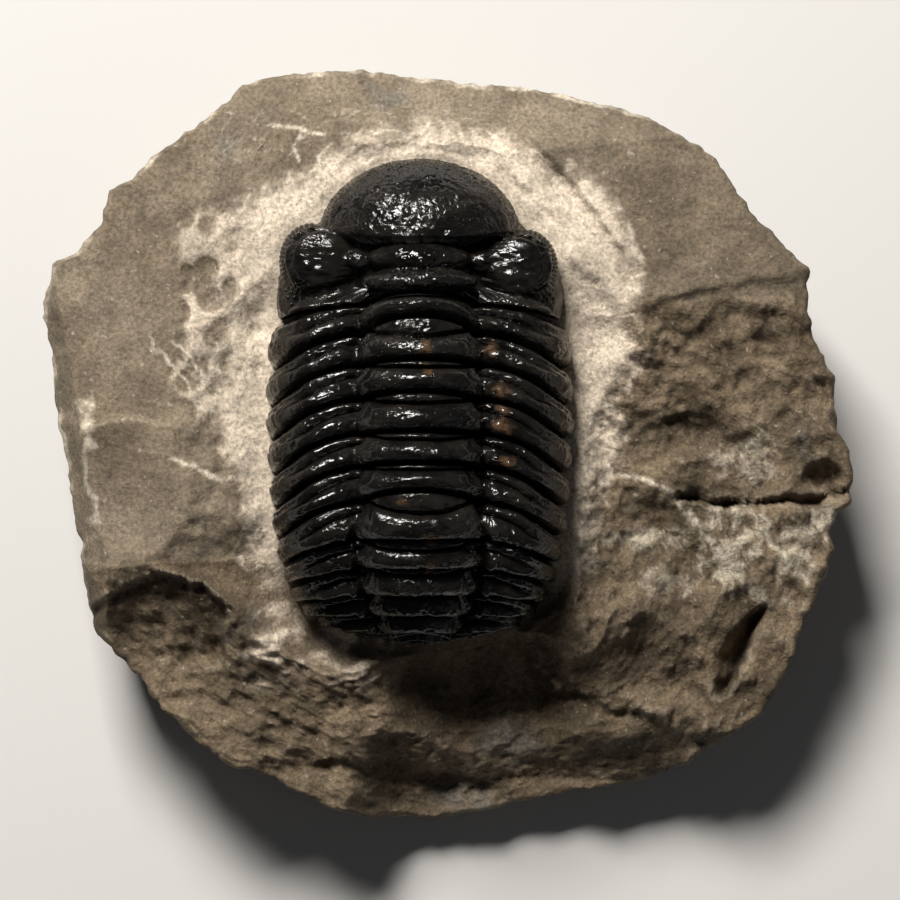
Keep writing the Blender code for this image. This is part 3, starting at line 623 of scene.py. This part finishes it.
def closed_block(name, top, floor_z, attributes, material):
    """A grid of points, row by row, closed by curtains down to floor_z(y), its faces pointing outwards."""
    top = top[::-1]
    rows, columns = top.shape[:2]
    verts = top.reshape(-1, 3)
    index = np.arange(rows * columns).reshape(rows, columns)
    rim = np.concatenate([index[0, :-1], index[:-1, -1], index[-1, :0:-1], index[:0:-1, 0]])
    low = verts[rim].copy()
    low[:, 2] = floor_z(low[:, 1])
    first = len(verts)
    count = len(rim)
    faces = grid_faces(rows, columns)
    for k in range(count):
        n = (k + 1) % count
        faces.append([int(rim[n]), int(rim[k]), first + k, first + n])
    faces.append([first + k for k in range(count)][::-1])
    values = {key: np.append(v[::-1].ravel(), v[::-1].ravel()[rim]) for key, v in attributes.items()}
    return mesh_object(name, np.vstack([verts, low]), faces, values, material)


def plate_floor(y):
    """The level that the plates stand on, just over the bed."""
    return bed_height(y) + 0.05


def make_plate(index, material):
    """One thorax plate with its ring, half ring and ribbed sides."""
    length = JOINT_Y[index] - JOINT_Y[index + 1]
    clear = 0.07 / length
    share = np.linspace(0, 1, PLATE_ROWS)
    share = share - 0.05 * np.sin(share * 2 * math.pi)
    side = np.linspace(-1, 1, PLATE_COLUMNS)
    share, side = np.meshgrid(share, side, indexing="ij")
    joint = index + clear + (1 - 2 * clear) * share
    place, normal = body_with_normal(joint, side)
    relief, grains = plate_profile(share, side, index, length)
    relief = relief * (1 - 0.5 * eased((np.abs(side) - 0.9) / 0.1)) * (1.3 if index > 7 else 1.0)
    top = aged(place + normal * relief[..., None], normal)
    top[..., 2] = np.maximum(top[..., 2], plate_floor(top[..., 1]) + 0.1)
    values = {
        "grains": grains,
        "bronze": bronze_at(top[..., 0], top[..., 1], top[..., 2]),
        "rise": np.clip(relief, -1, 1),
        "flank": eased((np.abs(side) - 0.56) / 0.2),
    }
    return closed_block(f"plate_{index + 1:02d}", top, plate_floor, values, material)


def make_tail(material):
    """The tail shield: a ringed axis and faint ribs, closing round to the tip."""
    share = np.linspace(0, 1, TAIL_ROWS)
    side = np.linspace(-1, 1, PLATE_COLUMNS)
    share, side = np.meshgrid(share, side, indexing="ij")
    joint = SEGMENTS + 0.05 + 0.95 * share
    place, normal = body_with_normal(joint, side)
    across = np.abs(side)
    on_axis = 1 - eased((across - AXIAL_SHARE + 0.02) / 0.05)
    fade = 1 - eased((share - 0.7) / 0.3)
    rings = (0.45 * np.cos((share * 3 - 0.45) * 2 * math.pi) + 0.3) * on_axis * fade
    ribs = 0.2 * np.cos((share * 3.5 + across * 1.2) * 2 * math.pi) * (1 - on_axis) * fade
    furrow = -0.4 * hump(across, AXIAL_SHARE, 0.05) * fade
    edge = -0.9 * (1 - np.sqrt(1 - (1 - np.clip(share / 0.12, 0, 1)) ** 2))
    relief = rings + ribs + furrow + edge
    top = aged(place + normal * relief[..., None], normal)
    top[..., 2] = np.maximum(top[..., 2], plate_floor(top[..., 1]) + 0.1)
    values = {
        "grains": 0.35 * on_axis * fade,
        "bronze": bronze_at(top[..., 0], top[..., 1], top[..., 2]),
        "rise": np.clip(relief * 1.5, -1, 1),
        "flank": eased((across - 0.6) / 0.3),
    }
    return closed_block("tail_shield", top, plate_floor, values, material)


def ball(p, centre, radii, tilt=0.0):
    """How far points lie outside a stretched ball tipped forwards by tilt degrees."""
    q = p - np.array(centre, float)
    c, s = math.cos(math.radians(tilt)), math.sin(math.radians(tilt))
    q = np.stack([q[..., 0], q[..., 1] * c - q[..., 2] * s, q[..., 1] * s + q[..., 2] * c], -1)
    r = np.array(radii, float)
    near = np.linalg.norm(q / r, axis=-1)
    slope = np.linalg.norm(q / (r * r), axis=-1)
    return near * (near - 1) / np.maximum(slope, 1e-9)


def joined(a, b, ease):
    """Two solids grown together with a rounded crease."""
    h = np.clip(0.5 + 0.5 * (b - a) / ease, 0, 1)
    return b * (1 - h) + a * h - ease * h * (1 - h)


def carved(a, b, ease):
    """The first solid with the second cut out of it, the rim rounded."""
    return -joined(-a, b, ease)


# The head's rounded lumps, from the middle line: centre, radii and tilt; the eye's are from its own middle
GLABELLA = ((0, 20.5, 24.5), (9.9, 7.85, 7.5), 6)
HEAD_BASE = ((0, 17.6, 20.6), (12.4, 8.3, 8.4))
BASAL_LOBE = ((0, 18.45, 29.0), (5.0, 1.8, 3.1))
LOBE_KNOB = ((6.0, 18.3, 27.9), (1.4, 1.2, 1.6))
CHEEK = ((8.8, 15.0, 22.4), (5.2, 6.6, 5.8))
EYE_TURRET = ((0, 0, 25.4), (3.1, 3.7, 4.4))
EYE_CAP = ((-1.0, 0.1, 28.2), (3.2, 3.0, 1.3))
EYE_GUTTER = ((-0.9, 0.1, 28.6), (2.8, 2.9, 1.7))
NECK_RING = ((0, 16.2, 29.9), (5.6, 1.4, 3.1))
BEAD_RADII = (1.3, 0.9, 1.05)
HEAD_FLOOR_Z = 20.75
HEAD_GRID = 240
# The middles of the left and the right eye, out from the middle line and along it
EYES = ((10.5, 18.3), (10.3, 17.7))
LENS_FILES = 24


def neck_y(x):
    """Where the neck joint runs in plan, for each x from the middle line."""
    side = np.linspace(0, 1, 60)
    line = smooth_body(np.full(60, 0.0), side)
    return np.interp(np.abs(x), line[:, 0] - BODY_X, line[:, 1], right=6.0)


def head_solid(p):
    """How far points lie outside the head shield; x is counted from the middle line."""
    glabella = ball(p, *GLABELLA)
    glabella = -joined(-glabella, p[..., 1] - 20.2 - 0.008 * p[..., 0] ** 2, 0.5)
    solid = joined(glabella, ball(p, *HEAD_BASE), 0.3)
    solid = joined(solid, ball(p, *BASAL_LOBE), 0.35)
    half = np.stack([np.abs(p[..., 0]), p[..., 1], p[..., 2]], -1)
    solid = joined(solid, ball(half, *LOBE_KNOB), 0.6)
    solid = joined(solid, ball(half, *CHEEK), 0.5)
    left = p[..., 0] < 0
    eye = np.stack([np.where(left, -p[..., 0] - EYES[0][0], p[..., 0] - EYES[1][0]),
                    p[..., 1] - np.where(left, EYES[0][1], EYES[1][1]), p[..., 2]], -1)
    turret = ball(eye, *EYE_TURRET)
    turret = -joined(-turret, 28.9 + 0.12 * eye[..., 0] - eye[..., 2], 0.8)
    cap = ball(eye, *EYE_CAP)
    gutter = np.abs(ball(eye, *EYE_GUTTER)) - 0.05
    eye_solid = carved(joined(turret, cap, 0.8), gutter, 0.3)
    solid = joined(solid, eye_solid, 0.3)
    solid = joined(solid, ball(p, *NECK_RING), 0.2)
    for k in range(5):
        side = 0.4 + 0.065 * k
        spot = smooth_body(np.array([-0.28]), np.array([side]))[0] - np.array([BODY_X, 0, 0])
        bead = ball(half, (spot[0], spot[1] - 0.1, spot[2] - 0.75), BEAD_RADII)
        solid = joined(solid, bead, 0.6)
    neck = neck_y(p[..., 0]) + 0.1 - p[..., 1]
    solid = -joined(-solid, -neck * 0.75, 0.25)
    return np.maximum(solid, HEAD_FLOOR_Z - p[..., 2])


def make_head(material):
    """The head shield, found by walking out from its middle in every upward direction until it ends."""
    a, b = np.meshgrid(np.linspace(-1, 1, HEAD_GRID), np.linspace(-1, 1, HEAD_GRID), indexing="ij")
    round_x, round_y = a * np.sqrt(1 - b * b / 2), b * np.sqrt(1 - a * a / 2)
    r = np.hypot(round_x, round_y)
    azimuth = np.arctan2(round_y, round_x)
    lean = r * math.radians(118)
    ray = np.stack([np.sin(lean) * np.cos(azimuth), np.sin(lean) * np.sin(azimuth), np.cos(lean)], -1)
    start = np.array([0.0, 18.4, 23.2])
    near, far = np.zeros(r.shape), np.full(r.shape, 17.0)
    outside = np.linspace(1.0, 17.0, 19)
    found = np.zeros(r.shape, bool)
    for before, after in zip(outside[::-1][1:], outside[::-1][:-1]):
        inside = head_solid(start + ray * before) < 0
        first = inside & ~found
        near = np.where(first, before, near)
        far = np.where(first, after, far)
        found |= first
    for _ in range(11):
        mid = (near + far) / 2
        inside = head_solid(start + ray * mid[..., None]) < 0
        near = np.where(inside, mid, near)
        far = np.where(inside, far, mid)
    points = start + ray * near[..., None]
    steps = np.eye(3) * 0.02
    normal = np.stack([head_solid(points + step) - head_solid(points - step) for step in steps], -1)
    normal /= np.maximum(np.linalg.norm(normal, axis=-1, keepdims=True), 1e-9)
    points = points + np.array([BODY_X, 0, 0])
    on_floor = points[..., 2] < 20.9
    top = np.where(on_floor[..., None], points, aged(points, normal))
    x, y, z = top[..., 0] - BODY_X, top[..., 1], top[..., 2]
    frontal = eased((y - 20.6) / 0.8) * (1 - eased((np.abs(x) - 9.2) / 0.8)) * eased((z - 22) / 3)
    occipital = hump(y, 16.4, 1.5) * (1 - eased((np.abs(x) - 4.8) / 0.8))
    values = {
        "grains": np.clip(np.maximum(frontal, occipital), 0, 1),
        "bronze": bronze_at(top[..., 0], y, z),
        "rise": np.clip(neighbour_rise(near, False) * 6, -1, 1),
        "flank": 1 - eased((z - 21.5) / 2),
    }
    return closed_block("head_shield", top, lambda at: np.full(np.shape(at), HEAD_FLOOR_Z), values, material)


def lens_places():
    """Where the eye lenses sit: upright files round the outer face of each eye."""
    spots = []
    for mirror, (ex, ey) in zip((-1, 1), EYES):
        ex = ex * mirror
        for file in range(LENS_FILES):
            around = math.radians(-98 + file * 8.2)
            rows = 6 if 3 < file < 20 else 5
            for row in range(rows):
                lift = math.radians(2 + 7.4 * row + (3.7 if file % 2 else 0))
                level = math.cos(lift)
                outward = mirror * math.cos(around) * level
                direction = np.array([outward, math.sin(around) * level, math.sin(lift)])
                start = np.array([ex, ey, 25.6])
                near, far = 0.5, 7.0
                for _ in range(24):
                    mid = (near + far) / 2
                    if head_solid((start + direction * mid)[None])[0] < 0:
                        near = mid
                    else:
                        far = mid
                if near < 5.0:
                    spots.append(start + direction * (near - 0.17) + np.array([BODY_X, 0, 0]))
    return np.array(spots)


def node_input(group, name, kind, default=None):
    """Adds a named input to a node group."""
    socket = group.interface.new_socket(name, in_out="INPUT", socket_type=kind)
    if default is not None:
        socket.default_value = default
    return socket


def grow_tree():
    """A node tree that scatters small balls over a mesh, thickest where its grains number is high."""
    group = bpy.data.node_groups.new("grains", "GeometryNodeTree")
    node_input(group, "Geometry", "NodeSocketGeometry")
    node_input(group, "Spacing", "NodeSocketFloat", 0.5 * MM)
    node_input(group, "Radius", "NodeSocketFloat", 0.16 * MM)
    node_input(group, "Seed", "NodeSocketInt", 4)
    node_input(group, "Material", "NodeSocketMaterial")
    group.interface.new_socket("Geometry", in_out="OUTPUT", socket_type="NodeSocketGeometry")
    nodes, links = group.nodes, group.links
    entry, exit_ = nodes.new("NodeGroupInput"), nodes.new("NodeGroupOutput")
    density = nodes.new("GeometryNodeInputNamedAttribute")
    density.data_type = "FLOAT"
    density.inputs["Name"].default_value = "grains"
    scatter = nodes.new("GeometryNodeDistributePointsOnFaces")
    scatter.distribute_method = "POISSON"
    scatter.inputs["Density Max"].default_value = 1.6e7
    grain = nodes.new("GeometryNodeMeshIcoSphere")
    grain.inputs["Subdivisions"].default_value = 1
    flat = nodes.new("GeometryNodeTransform")
    flat.inputs["Scale"].default_value = (1, 1, 0.4)
    place = nodes.new("GeometryNodeInstanceOnPoints")
    size = nodes.new("FunctionNodeRandomValue")
    size.data_type = "FLOAT"
    size.inputs[2].default_value = 0.6
    size.inputs[3].default_value = 1.25
    real = nodes.new("GeometryNodeRealizeInstances")
    shade = nodes.new("GeometryNodeSetShadeSmooth")
    both = nodes.new("GeometryNodeJoinGeometry")
    finish = nodes.new("GeometryNodeSetMaterial")
    links.new(entry.outputs["Geometry"], scatter.inputs["Mesh"])
    links.new(entry.outputs["Spacing"], scatter.inputs["Distance Min"])
    links.new(entry.outputs["Seed"], scatter.inputs["Seed"])
    links.new(density.outputs[0], scatter.inputs["Density Factor"])
    links.new(entry.outputs["Radius"], grain.inputs["Radius"])
    links.new(scatter.outputs["Points"], place.inputs["Points"])
    links.new(scatter.outputs["Rotation"], place.inputs["Rotation"])
    links.new(grain.outputs["Mesh"], flat.inputs["Geometry"])
    links.new(flat.outputs["Geometry"], place.inputs["Instance"])
    links.new(size.outputs[1], place.inputs["Scale"])
    links.new(place.outputs["Instances"], real.inputs["Geometry"])
    links.new(real.outputs["Geometry"], shade.inputs["Geometry"])
    links.new(shade.outputs["Geometry"], both.inputs["Geometry"])
    links.new(entry.outputs["Geometry"], both.inputs["Geometry"])
    links.new(both.outputs["Geometry"], finish.inputs["Geometry"])
    links.new(entry.outputs["Material"], finish.inputs["Material"])
    links.new(finish.outputs["Geometry"], exit_.inputs["Geometry"])
    return group


def lens_tree():
    """A node tree that puts a ball on every point of a mesh."""
    group = bpy.data.node_groups.new("lenses", "GeometryNodeTree")
    node_input(group, "Geometry", "NodeSocketGeometry")
    node_input(group, "Radius", "NodeSocketFloat", 0.27 * MM)
    node_input(group, "Material", "NodeSocketMaterial")
    group.interface.new_socket("Geometry", in_out="OUTPUT", socket_type="NodeSocketGeometry")
    nodes, links = group.nodes, group.links
    entry, exit_ = nodes.new("NodeGroupInput"), nodes.new("NodeGroupOutput")
    lens = nodes.new("GeometryNodeMeshIcoSphere")
    lens.inputs["Subdivisions"].default_value = 2
    place = nodes.new("GeometryNodeInstanceOnPoints")
    real = nodes.new("GeometryNodeRealizeInstances")
    shade = nodes.new("GeometryNodeSetShadeSmooth")
    finish = nodes.new("GeometryNodeSetMaterial")
    links.new(entry.outputs["Geometry"], place.inputs["Points"])
    links.new(entry.outputs["Radius"], lens.inputs["Radius"])
    links.new(lens.outputs["Mesh"], place.inputs["Instance"])
    links.new(place.outputs["Instances"], real.inputs["Geometry"])
    links.new(real.outputs["Geometry"], shade.inputs["Geometry"])
    links.new(shade.outputs["Geometry"], finish.inputs["Geometry"])
    links.new(entry.outputs["Material"], finish.inputs["Material"])
    links.new(finish.outputs["Geometry"], exit_.inputs["Geometry"])
    return group


def grown(obj, tree, settings):
    """Replaces an object's mesh by what a node tree makes of it, as plain mesh."""
    modifier = obj.modifiers.new("grow", "NODES")
    modifier.node_group = tree
    for item in tree.interface.items_tree:
        if item.item_type == "SOCKET" and item.in_out == "INPUT" and item.name in settings:
            modifier[item.identifier] = settings[item.name]
    bpy.context.view_layer.update()
    made = bpy.data.meshes.new_from_object(obj.evaluated_get(bpy.context.evaluated_depsgraph_get()))
    made.name = obj.name
    obj.modifiers.clear()
    obj.data = made
    return obj


# The finishes' colours
WEATHERED = ((0.160, 0.125, 0.085), (0.222, 0.178, 0.127))
FRESHLY_BROKEN = ((0.104, 0.077, 0.047), (0.220, 0.165, 0.106))
BLUE_GREY = (0.17, 0.175, 0.175)
# Painted shade: the dark brown laid into the stone's hollows, where points lie below their neighbours
PAINTED_HOLLOW_SHADE = (0.045, 0.032, 0.02)
# Painted highlight: the paler brown laid onto the stone's raised ridges, where points stand above their
# neighbours
PAINTED_EDGE_HIGHLIGHT = (0.34, 0.28, 0.205)
CREAM = (0.60, 0.508, 0.40)
VEIN_WHITE = (0.66, 0.585, 0.46)
LIGHT_SPECK, DARK_SPECK = (0.42, 0.38, 0.31), (0.05, 0.04, 0.03)
BLACK_CALCITE = ((0.004, 0.0036, 0.0032), (0.014, 0.012, 0.010))
BRONZE_BROWN = (0.085, 0.050, 0.027)
DUST = (0.085, 0.075, 0.062)
FLOOR_GREY = (0.62, 0.61, 0.59)


def mix_colours(tree, factor, a, b, blend="MIX"):
    """Mixes two colours, each a socket or a plain colour, by a socket or number."""
    node = tree.nodes.new("ShaderNodeMix")
    node.data_type = "RGBA"
    node.blend_type = blend
    sockets = (node.inputs[0], node.inputs[6], node.inputs[7])
    for socket, value in zip(sockets, (factor, a, b)):
        if isinstance(value, (int, float)):
            socket.default_value = value
        elif isinstance(value, tuple):
            socket.default_value = (*value, 1)
        else:
            tree.links.new(value, socket)
    return node.outputs[2]


def maths(tree, operation, a, b=0.0):
    """One sum on two sockets or numbers."""
    node = tree.nodes.new("ShaderNodeMath")
    node.operation = operation
    for socket, value in zip(node.inputs, (a, b)):
        if isinstance(value, (int, float)):
            socket.default_value = value
        else:
            tree.links.new(value, socket)
    return node.outputs[0]


def product(tree, a, b):
    """One socket or number times another."""
    return maths(tree, "MULTIPLY", a, b)


def ramp(tree, value, low, high, to_low=0.0, to_high=1.0):
    """Spreads a value from one range to another, held at its ends."""
    node = tree.nodes.new("ShaderNodeMapRange")
    node.interpolation_type = "SMOOTHSTEP"
    tree.links.new(value, node.inputs["Value"])
    for name, number in (("From Min", low), ("From Max", high), ("To Min", to_low), ("To Max", to_high)):
        node.inputs[name].default_value = number
    return node.outputs["Result"]


def noise_value(tree, place, scale, detail=4.0, rough=0.55):
    """A noise texture's value at a scale in repeats per metre."""
    node = tree.nodes.new("ShaderNodeTexNoise")
    tree.links.new(place, node.inputs["Vector"])
    node.inputs["Scale"].default_value = scale
    node.inputs["Detail"].default_value = detail
    node.inputs["Roughness"].default_value = rough
    return node.outputs["Fac"]


def stored(tree, name):
    """A number stored on the mesh's points."""
    node = tree.nodes.new("ShaderNodeAttribute")
    node.attribute_name = name
    return node.outputs["Fac"]


def grain_group():
    """Fine mineral grain: a colour that speckles a base colour, and a height for a bump."""
    group = bpy.data.node_groups.new("mineral_grain", "ShaderNodeTree")
    node_input(group, "Colour", "NodeSocketColor", (0.2, 0.2, 0.2, 1))
    node_input(group, "Amount", "NodeSocketFloat", 1.0)
    group.interface.new_socket("Colour", in_out="OUTPUT", socket_type="NodeSocketColor")
    group.interface.new_socket("Height", in_out="OUTPUT", socket_type="NodeSocketFloat")
    tree = group
    entry, exit_ = group.nodes.new("NodeGroupInput"), group.nodes.new("NodeGroupOutput")
    place = group.nodes.new("ShaderNodeTexCoord").outputs["Object"]
    cloud = noise_value(tree, place, 260, 5)
    fine = noise_value(tree, place, 2600, 3, 0.7)
    specks = noise_value(tree, place, 1500, 1)
    light = ramp(tree, specks, 0.7, 0.76)
    dark = ramp(tree, noise_value(tree, place, 1150, 2), 0.64, 0.74)
    shade = product(tree, ramp(tree, fine, 0.25, 0.75, 0.62, 1.38), ramp(tree, cloud, 0.3, 0.7, 0.78, 1.22))
    scaled = group.nodes.new("ShaderNodeVectorMath")
    scaled.operation = "SCALE"
    group.links.new(entry.outputs["Colour"], scaled.inputs[0])
    group.links.new(shade, scaled.inputs["Scale"])
    colour = mix_colours(tree, entry.outputs["Amount"], entry.outputs["Colour"], scaled.outputs[0])
    lit = product(tree, light, product(tree, entry.outputs["Amount"], 0.5))
    colour = mix_colours(tree, lit, colour, LIGHT_SPECK)
    dim = product(tree, dark, product(tree, entry.outputs["Amount"], 0.45))
    colour = mix_colours(tree, dim, colour, DARK_SPECK)
    group.links.new(colour, exit_.inputs["Colour"])
    group.links.new(maths(tree, "ADD", fine, product(tree, specks, 0.4)), exit_.inputs["Height"])
    return group


def surface(name):
    """A new node material, its tree and its surface node."""
    material = bpy.data.materials.new(name)
    material.use_nodes = True
    tree = material.node_tree
    return material, tree, tree.nodes["Principled BSDF"]


def bump(tree, height, strength, distance, before=None):
    """Turns a height into a normal."""
    node = tree.nodes.new("ShaderNodeBump")
    node.inputs["Strength"].default_value = strength
    node.inputs["Distance"].default_value = distance
    tree.links.new(height, node.inputs["Height"])
    if before is not None:
        tree.links.new(before, node.inputs["Normal"])
    return node.outputs["Normal"]


def limestone_material(grain):
    """Grey-brown limestone: weathered faces, darker fresh breaks, cream tool-worked ground, white veins."""
    material, tree, skin = surface("limestone")
    place = tree.nodes.new("ShaderNodeTexCoord").outputs["Object"]
    patches = ramp(tree, noise_value(tree, place, 70, 5), 0.35, 0.68)
    colour = mix_colours(tree, patches, *WEATHERED)
    broken = mix_colours(tree, ramp(tree, noise_value(tree, place, 110, 6), 0.35, 0.65), *FRESHLY_BROKEN)
    colour = mix_colours(tree, stored(tree, "fresh"), colour, broken)
    blue = ramp(tree, noise_value(tree, place, 95, 3), 0.62, 0.74, 0, 0.45)
    colour = mix_colours(tree, blue, colour, BLUE_GREY)
    rise = stored(tree, "rise")
    # Painted shade: points lying below their neighbours are darkened towards dark brown
    hollow_shade = ramp(tree, product(tree, rise, -1), 0.04, 0.3, 0, 0.35)
    colour = mix_colours(tree, hollow_shade, colour, PAINTED_HOLLOW_SHADE)
    # Painted highlight: points standing above their neighbours are lightened towards a paler brown
    edge = ramp(tree, rise, 0.08, 0.35, 0, 0.35)
    colour = mix_colours(tree, edge, colour, PAINTED_EDGE_HIGHLIGHT)
    chalk = stored(tree, "chalk")
    mottled = ramp(tree, noise_value(tree, place, 650, 6, 0.65), 0.3, 0.48, 0.7, 1.0)
    chalky = product(tree, chalk, mottled)
    colour = mix_colours(tree, product(tree, chalky, 0.92), colour, CREAM)
    veined = ramp(tree, noise_value(tree, place, 900, 4), 0.3, 0.55, 0.25, 1.0)
    veined = product(tree, stored(tree, "veins"), veined)
    colour = mix_colours(tree, veined, colour, VEIN_WHITE)
    grains = tree.nodes.new("ShaderNodeGroup")
    grains.node_tree = grain
    tree.links.new(colour, grains.inputs["Colour"])
    grains.inputs["Amount"].default_value = 1.0
    tree.links.new(grains.outputs["Colour"], skin.inputs["Base Color"])
    tree.links.new(ramp(tree, chalk, 0, 1, 0.82, 0.95), skin.inputs["Roughness"])
    skin.inputs["Specular IOR Level"].default_value = 0.3
    normal = bump(tree, grains.outputs["Height"], 0.6, 0.00012)
    roughened = ramp(tree, stored(tree, "fresh"), 0, 1, 0.5, 1.6)
    gritty = product(tree, noise_value(tree, place, 900, 7, 0.72), roughened)
    gritty = product(tree, gritty, ramp(tree, chalk, 0, 1, 1.0, 0.45))
    normal = bump(tree, gritty, 0.9, 0.0004, normal)
    tree.links.new(normal, skin.inputs["Normal"])
    return material


def fossil_material():
    """Glossy black calcite with bronze patches, dull dusty flanks and fine scratches."""
    material, tree, skin = surface("black_calcite")
    place = tree.nodes.new("ShaderNodeTexCoord").outputs["Object"]
    clouds = noise_value(tree, place, 300, 5)
    colour = mix_colours(tree, ramp(tree, clouds, 0.35, 0.7), *BLACK_CALCITE)
    thin = ramp(tree, noise_value(tree, place, 1300, 4), 0.35, 0.6, 0.2, 0.9)
    colour = mix_colours(tree, product(tree, stored(tree, "bronze"), thin), colour, BRONZE_BROWN)
    rise = stored(tree, "rise")
    deep = ramp(tree, product(tree, rise, -1), -0.1, 0.6, 0, 1)
    dust = product(tree, deep, ramp(tree, noise_value(tree, place, 700, 5, 0.7), 0.45, 0.75, 0, 0.2))
    flank = ramp(tree, noise_value(tree, place, 500, 6, 0.7), 0.45, 0.8, 0.0, 0.16)
    flank = product(tree, stored(tree, "flank"), flank)
    dusty = maths(tree, "MAXIMUM", dust, flank)
    colour = mix_colours(tree, dusty, colour, DUST)
    tree.links.new(colour, skin.inputs["Base Color"])
    rough = ramp(tree, noise_value(tree, place, 900, 5, 0.65), 0.35, 0.7, 0.09, 0.26)
    rough = maths(tree, "ADD", rough, product(tree, dusty, 0.9))
    tree.links.new(rough, skin.inputs["Roughness"])
    skin.inputs["IOR"].default_value = 1.42
    crackle = tree.nodes.new("ShaderNodeTexVoronoi")
    crackle.feature = "DISTANCE_TO_EDGE"
    crackle.inputs["Scale"].default_value = 1500
    tree.links.new(place, crackle.inputs["Vector"])
    broken = product(tree, ramp(tree, crackle.outputs["Distance"], 0.0, 0.12), ramp(tree, clouds, 0.42, 0.6))
    normal = bump(tree, broken, 0.4, 0.00005)
    normal = bump(tree, noise_value(tree, place, 2400, 4, 0.6), 0.4, 0.00008, normal)
    normal = bump(tree, noise_value(tree, place, 750, 4, 0.6), 0.4, 0.00016, normal)
    tree.links.new(normal, skin.inputs["Normal"])
    return material


def floor_material():
    """Plain pale studio floor."""
    material, tree, skin = surface("floor")
    skin.inputs["Base Color"].default_value = (*FLOOR_GREY, 1)
    skin.inputs["Roughness"].default_value = 0.8
    return material


def area_light(name, place, size, power, colour):
    """A square soft light aimed at the stone."""
    data = bpy.data.lights.new(name, "AREA")
    data.size = size
    data.energy = power
    data.color = colour
    obj = bpy.data.objects.new(name, data)
    obj.location = place
    obj.rotation_euler = (Vector(LOOK_AT) - Vector(place)).to_track_quat("-Z", "Y").to_euler()
    bpy.context.scene.collection.objects.link(obj)
    return obj


FLOOR_HALF = 1.5
FLOOR_Z = -0.0002
LOOK_AT = (0, 0, 0.02)
# The lights: place, size, power and colour
KEY = ((-0.14, 0.385, 0.465), 0.19, 6.6, (1.0, 0.97, 0.93))
FILL = ((0.45, -0.3, 0.5), 0.5, 0.14, (0.93, 0.96, 1.0))
ROOM_COLOUR, ROOM_STRENGTH = (0.9, 0.93, 1.0), 0.032
CAMERA_Z, CAMERA_LENS, CAMERA_SENSOR = 0.5, 195.2, 36


def set_stage():
    """Floor, lights, dim surroundings and the camera straight above, as in the photo."""
    mesh = bpy.data.meshes.new("floor")
    wide = FLOOR_HALF
    corners = [(-wide, -wide, 0), (wide, -wide, 0), (wide, wide, 0), (-wide, wide, 0)]
    mesh.from_pydata(corners, [], [(0, 1, 2, 3)])
    mesh.materials.append(floor_material())
    floor = bpy.data.objects.new("floor", mesh)
    floor.location.z = FLOOR_Z
    bpy.context.scene.collection.objects.link(floor)
    area_light("key", *KEY)
    area_light("fill", *FILL)
    world = bpy.data.worlds.new("room")
    world.use_nodes = True
    world.node_tree.nodes["Background"].inputs["Color"].default_value = (*ROOM_COLOUR, 1)
    world.node_tree.nodes["Background"].inputs["Strength"].default_value = ROOM_STRENGTH
    bpy.context.scene.world = world
    bpy.context.scene.view_settings.view_transform = "Standard"
    camera_data = bpy.data.cameras.new("camera")
    camera_data.sensor_width = CAMERA_SENSOR
    camera_data.lens = CAMERA_LENS
    camera = bpy.data.objects.new("camera", camera_data)
    camera.location = (0, 0, CAMERA_Z)
    bpy.context.scene.collection.objects.link(camera)
    bpy.context.scene.camera = camera


def main():
    grain = grain_group()
    limestone = limestone_material(grain)
    fossil = fossil_material()
    scatter = grow_tree()

    def show(obj, node):
        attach(obj, "root")
        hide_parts(node)

    show(make_stone(limestone), "matrix")
    head = make_head(fossil)
    grown(head, scatter, {"Spacing": 0.32 * MM, "Radius": 0.11 * MM, "Seed": 3, "Material": fossil})
    show(head, "cephalon")
    spots = lens_places()
    lenses = mesh_object("eye_lenses", spots, [], {}, fossil)
    grown(lenses, lens_tree(), {"Radius": 0.27 * MM, "Material": fossil})
    show(lenses, "cephalon")
    for index in range(SEGMENTS):
        plate = make_plate(index, fossil)
        seed = 11 + index
        grown(plate, scatter, {"Spacing": 0.4 * MM, "Radius": 0.1 * MM, "Seed": seed, "Material": fossil})
        show(plate, f"thorax_segment_{index + 1:02d}")
    tail = make_tail(fossil)
    grown(tail, scatter, {"Spacing": 0.6 * MM, "Radius": 0.12 * MM, "Seed": 31, "Material": fossil})
    show(tail, "pygidium")
    set_stage()


main()
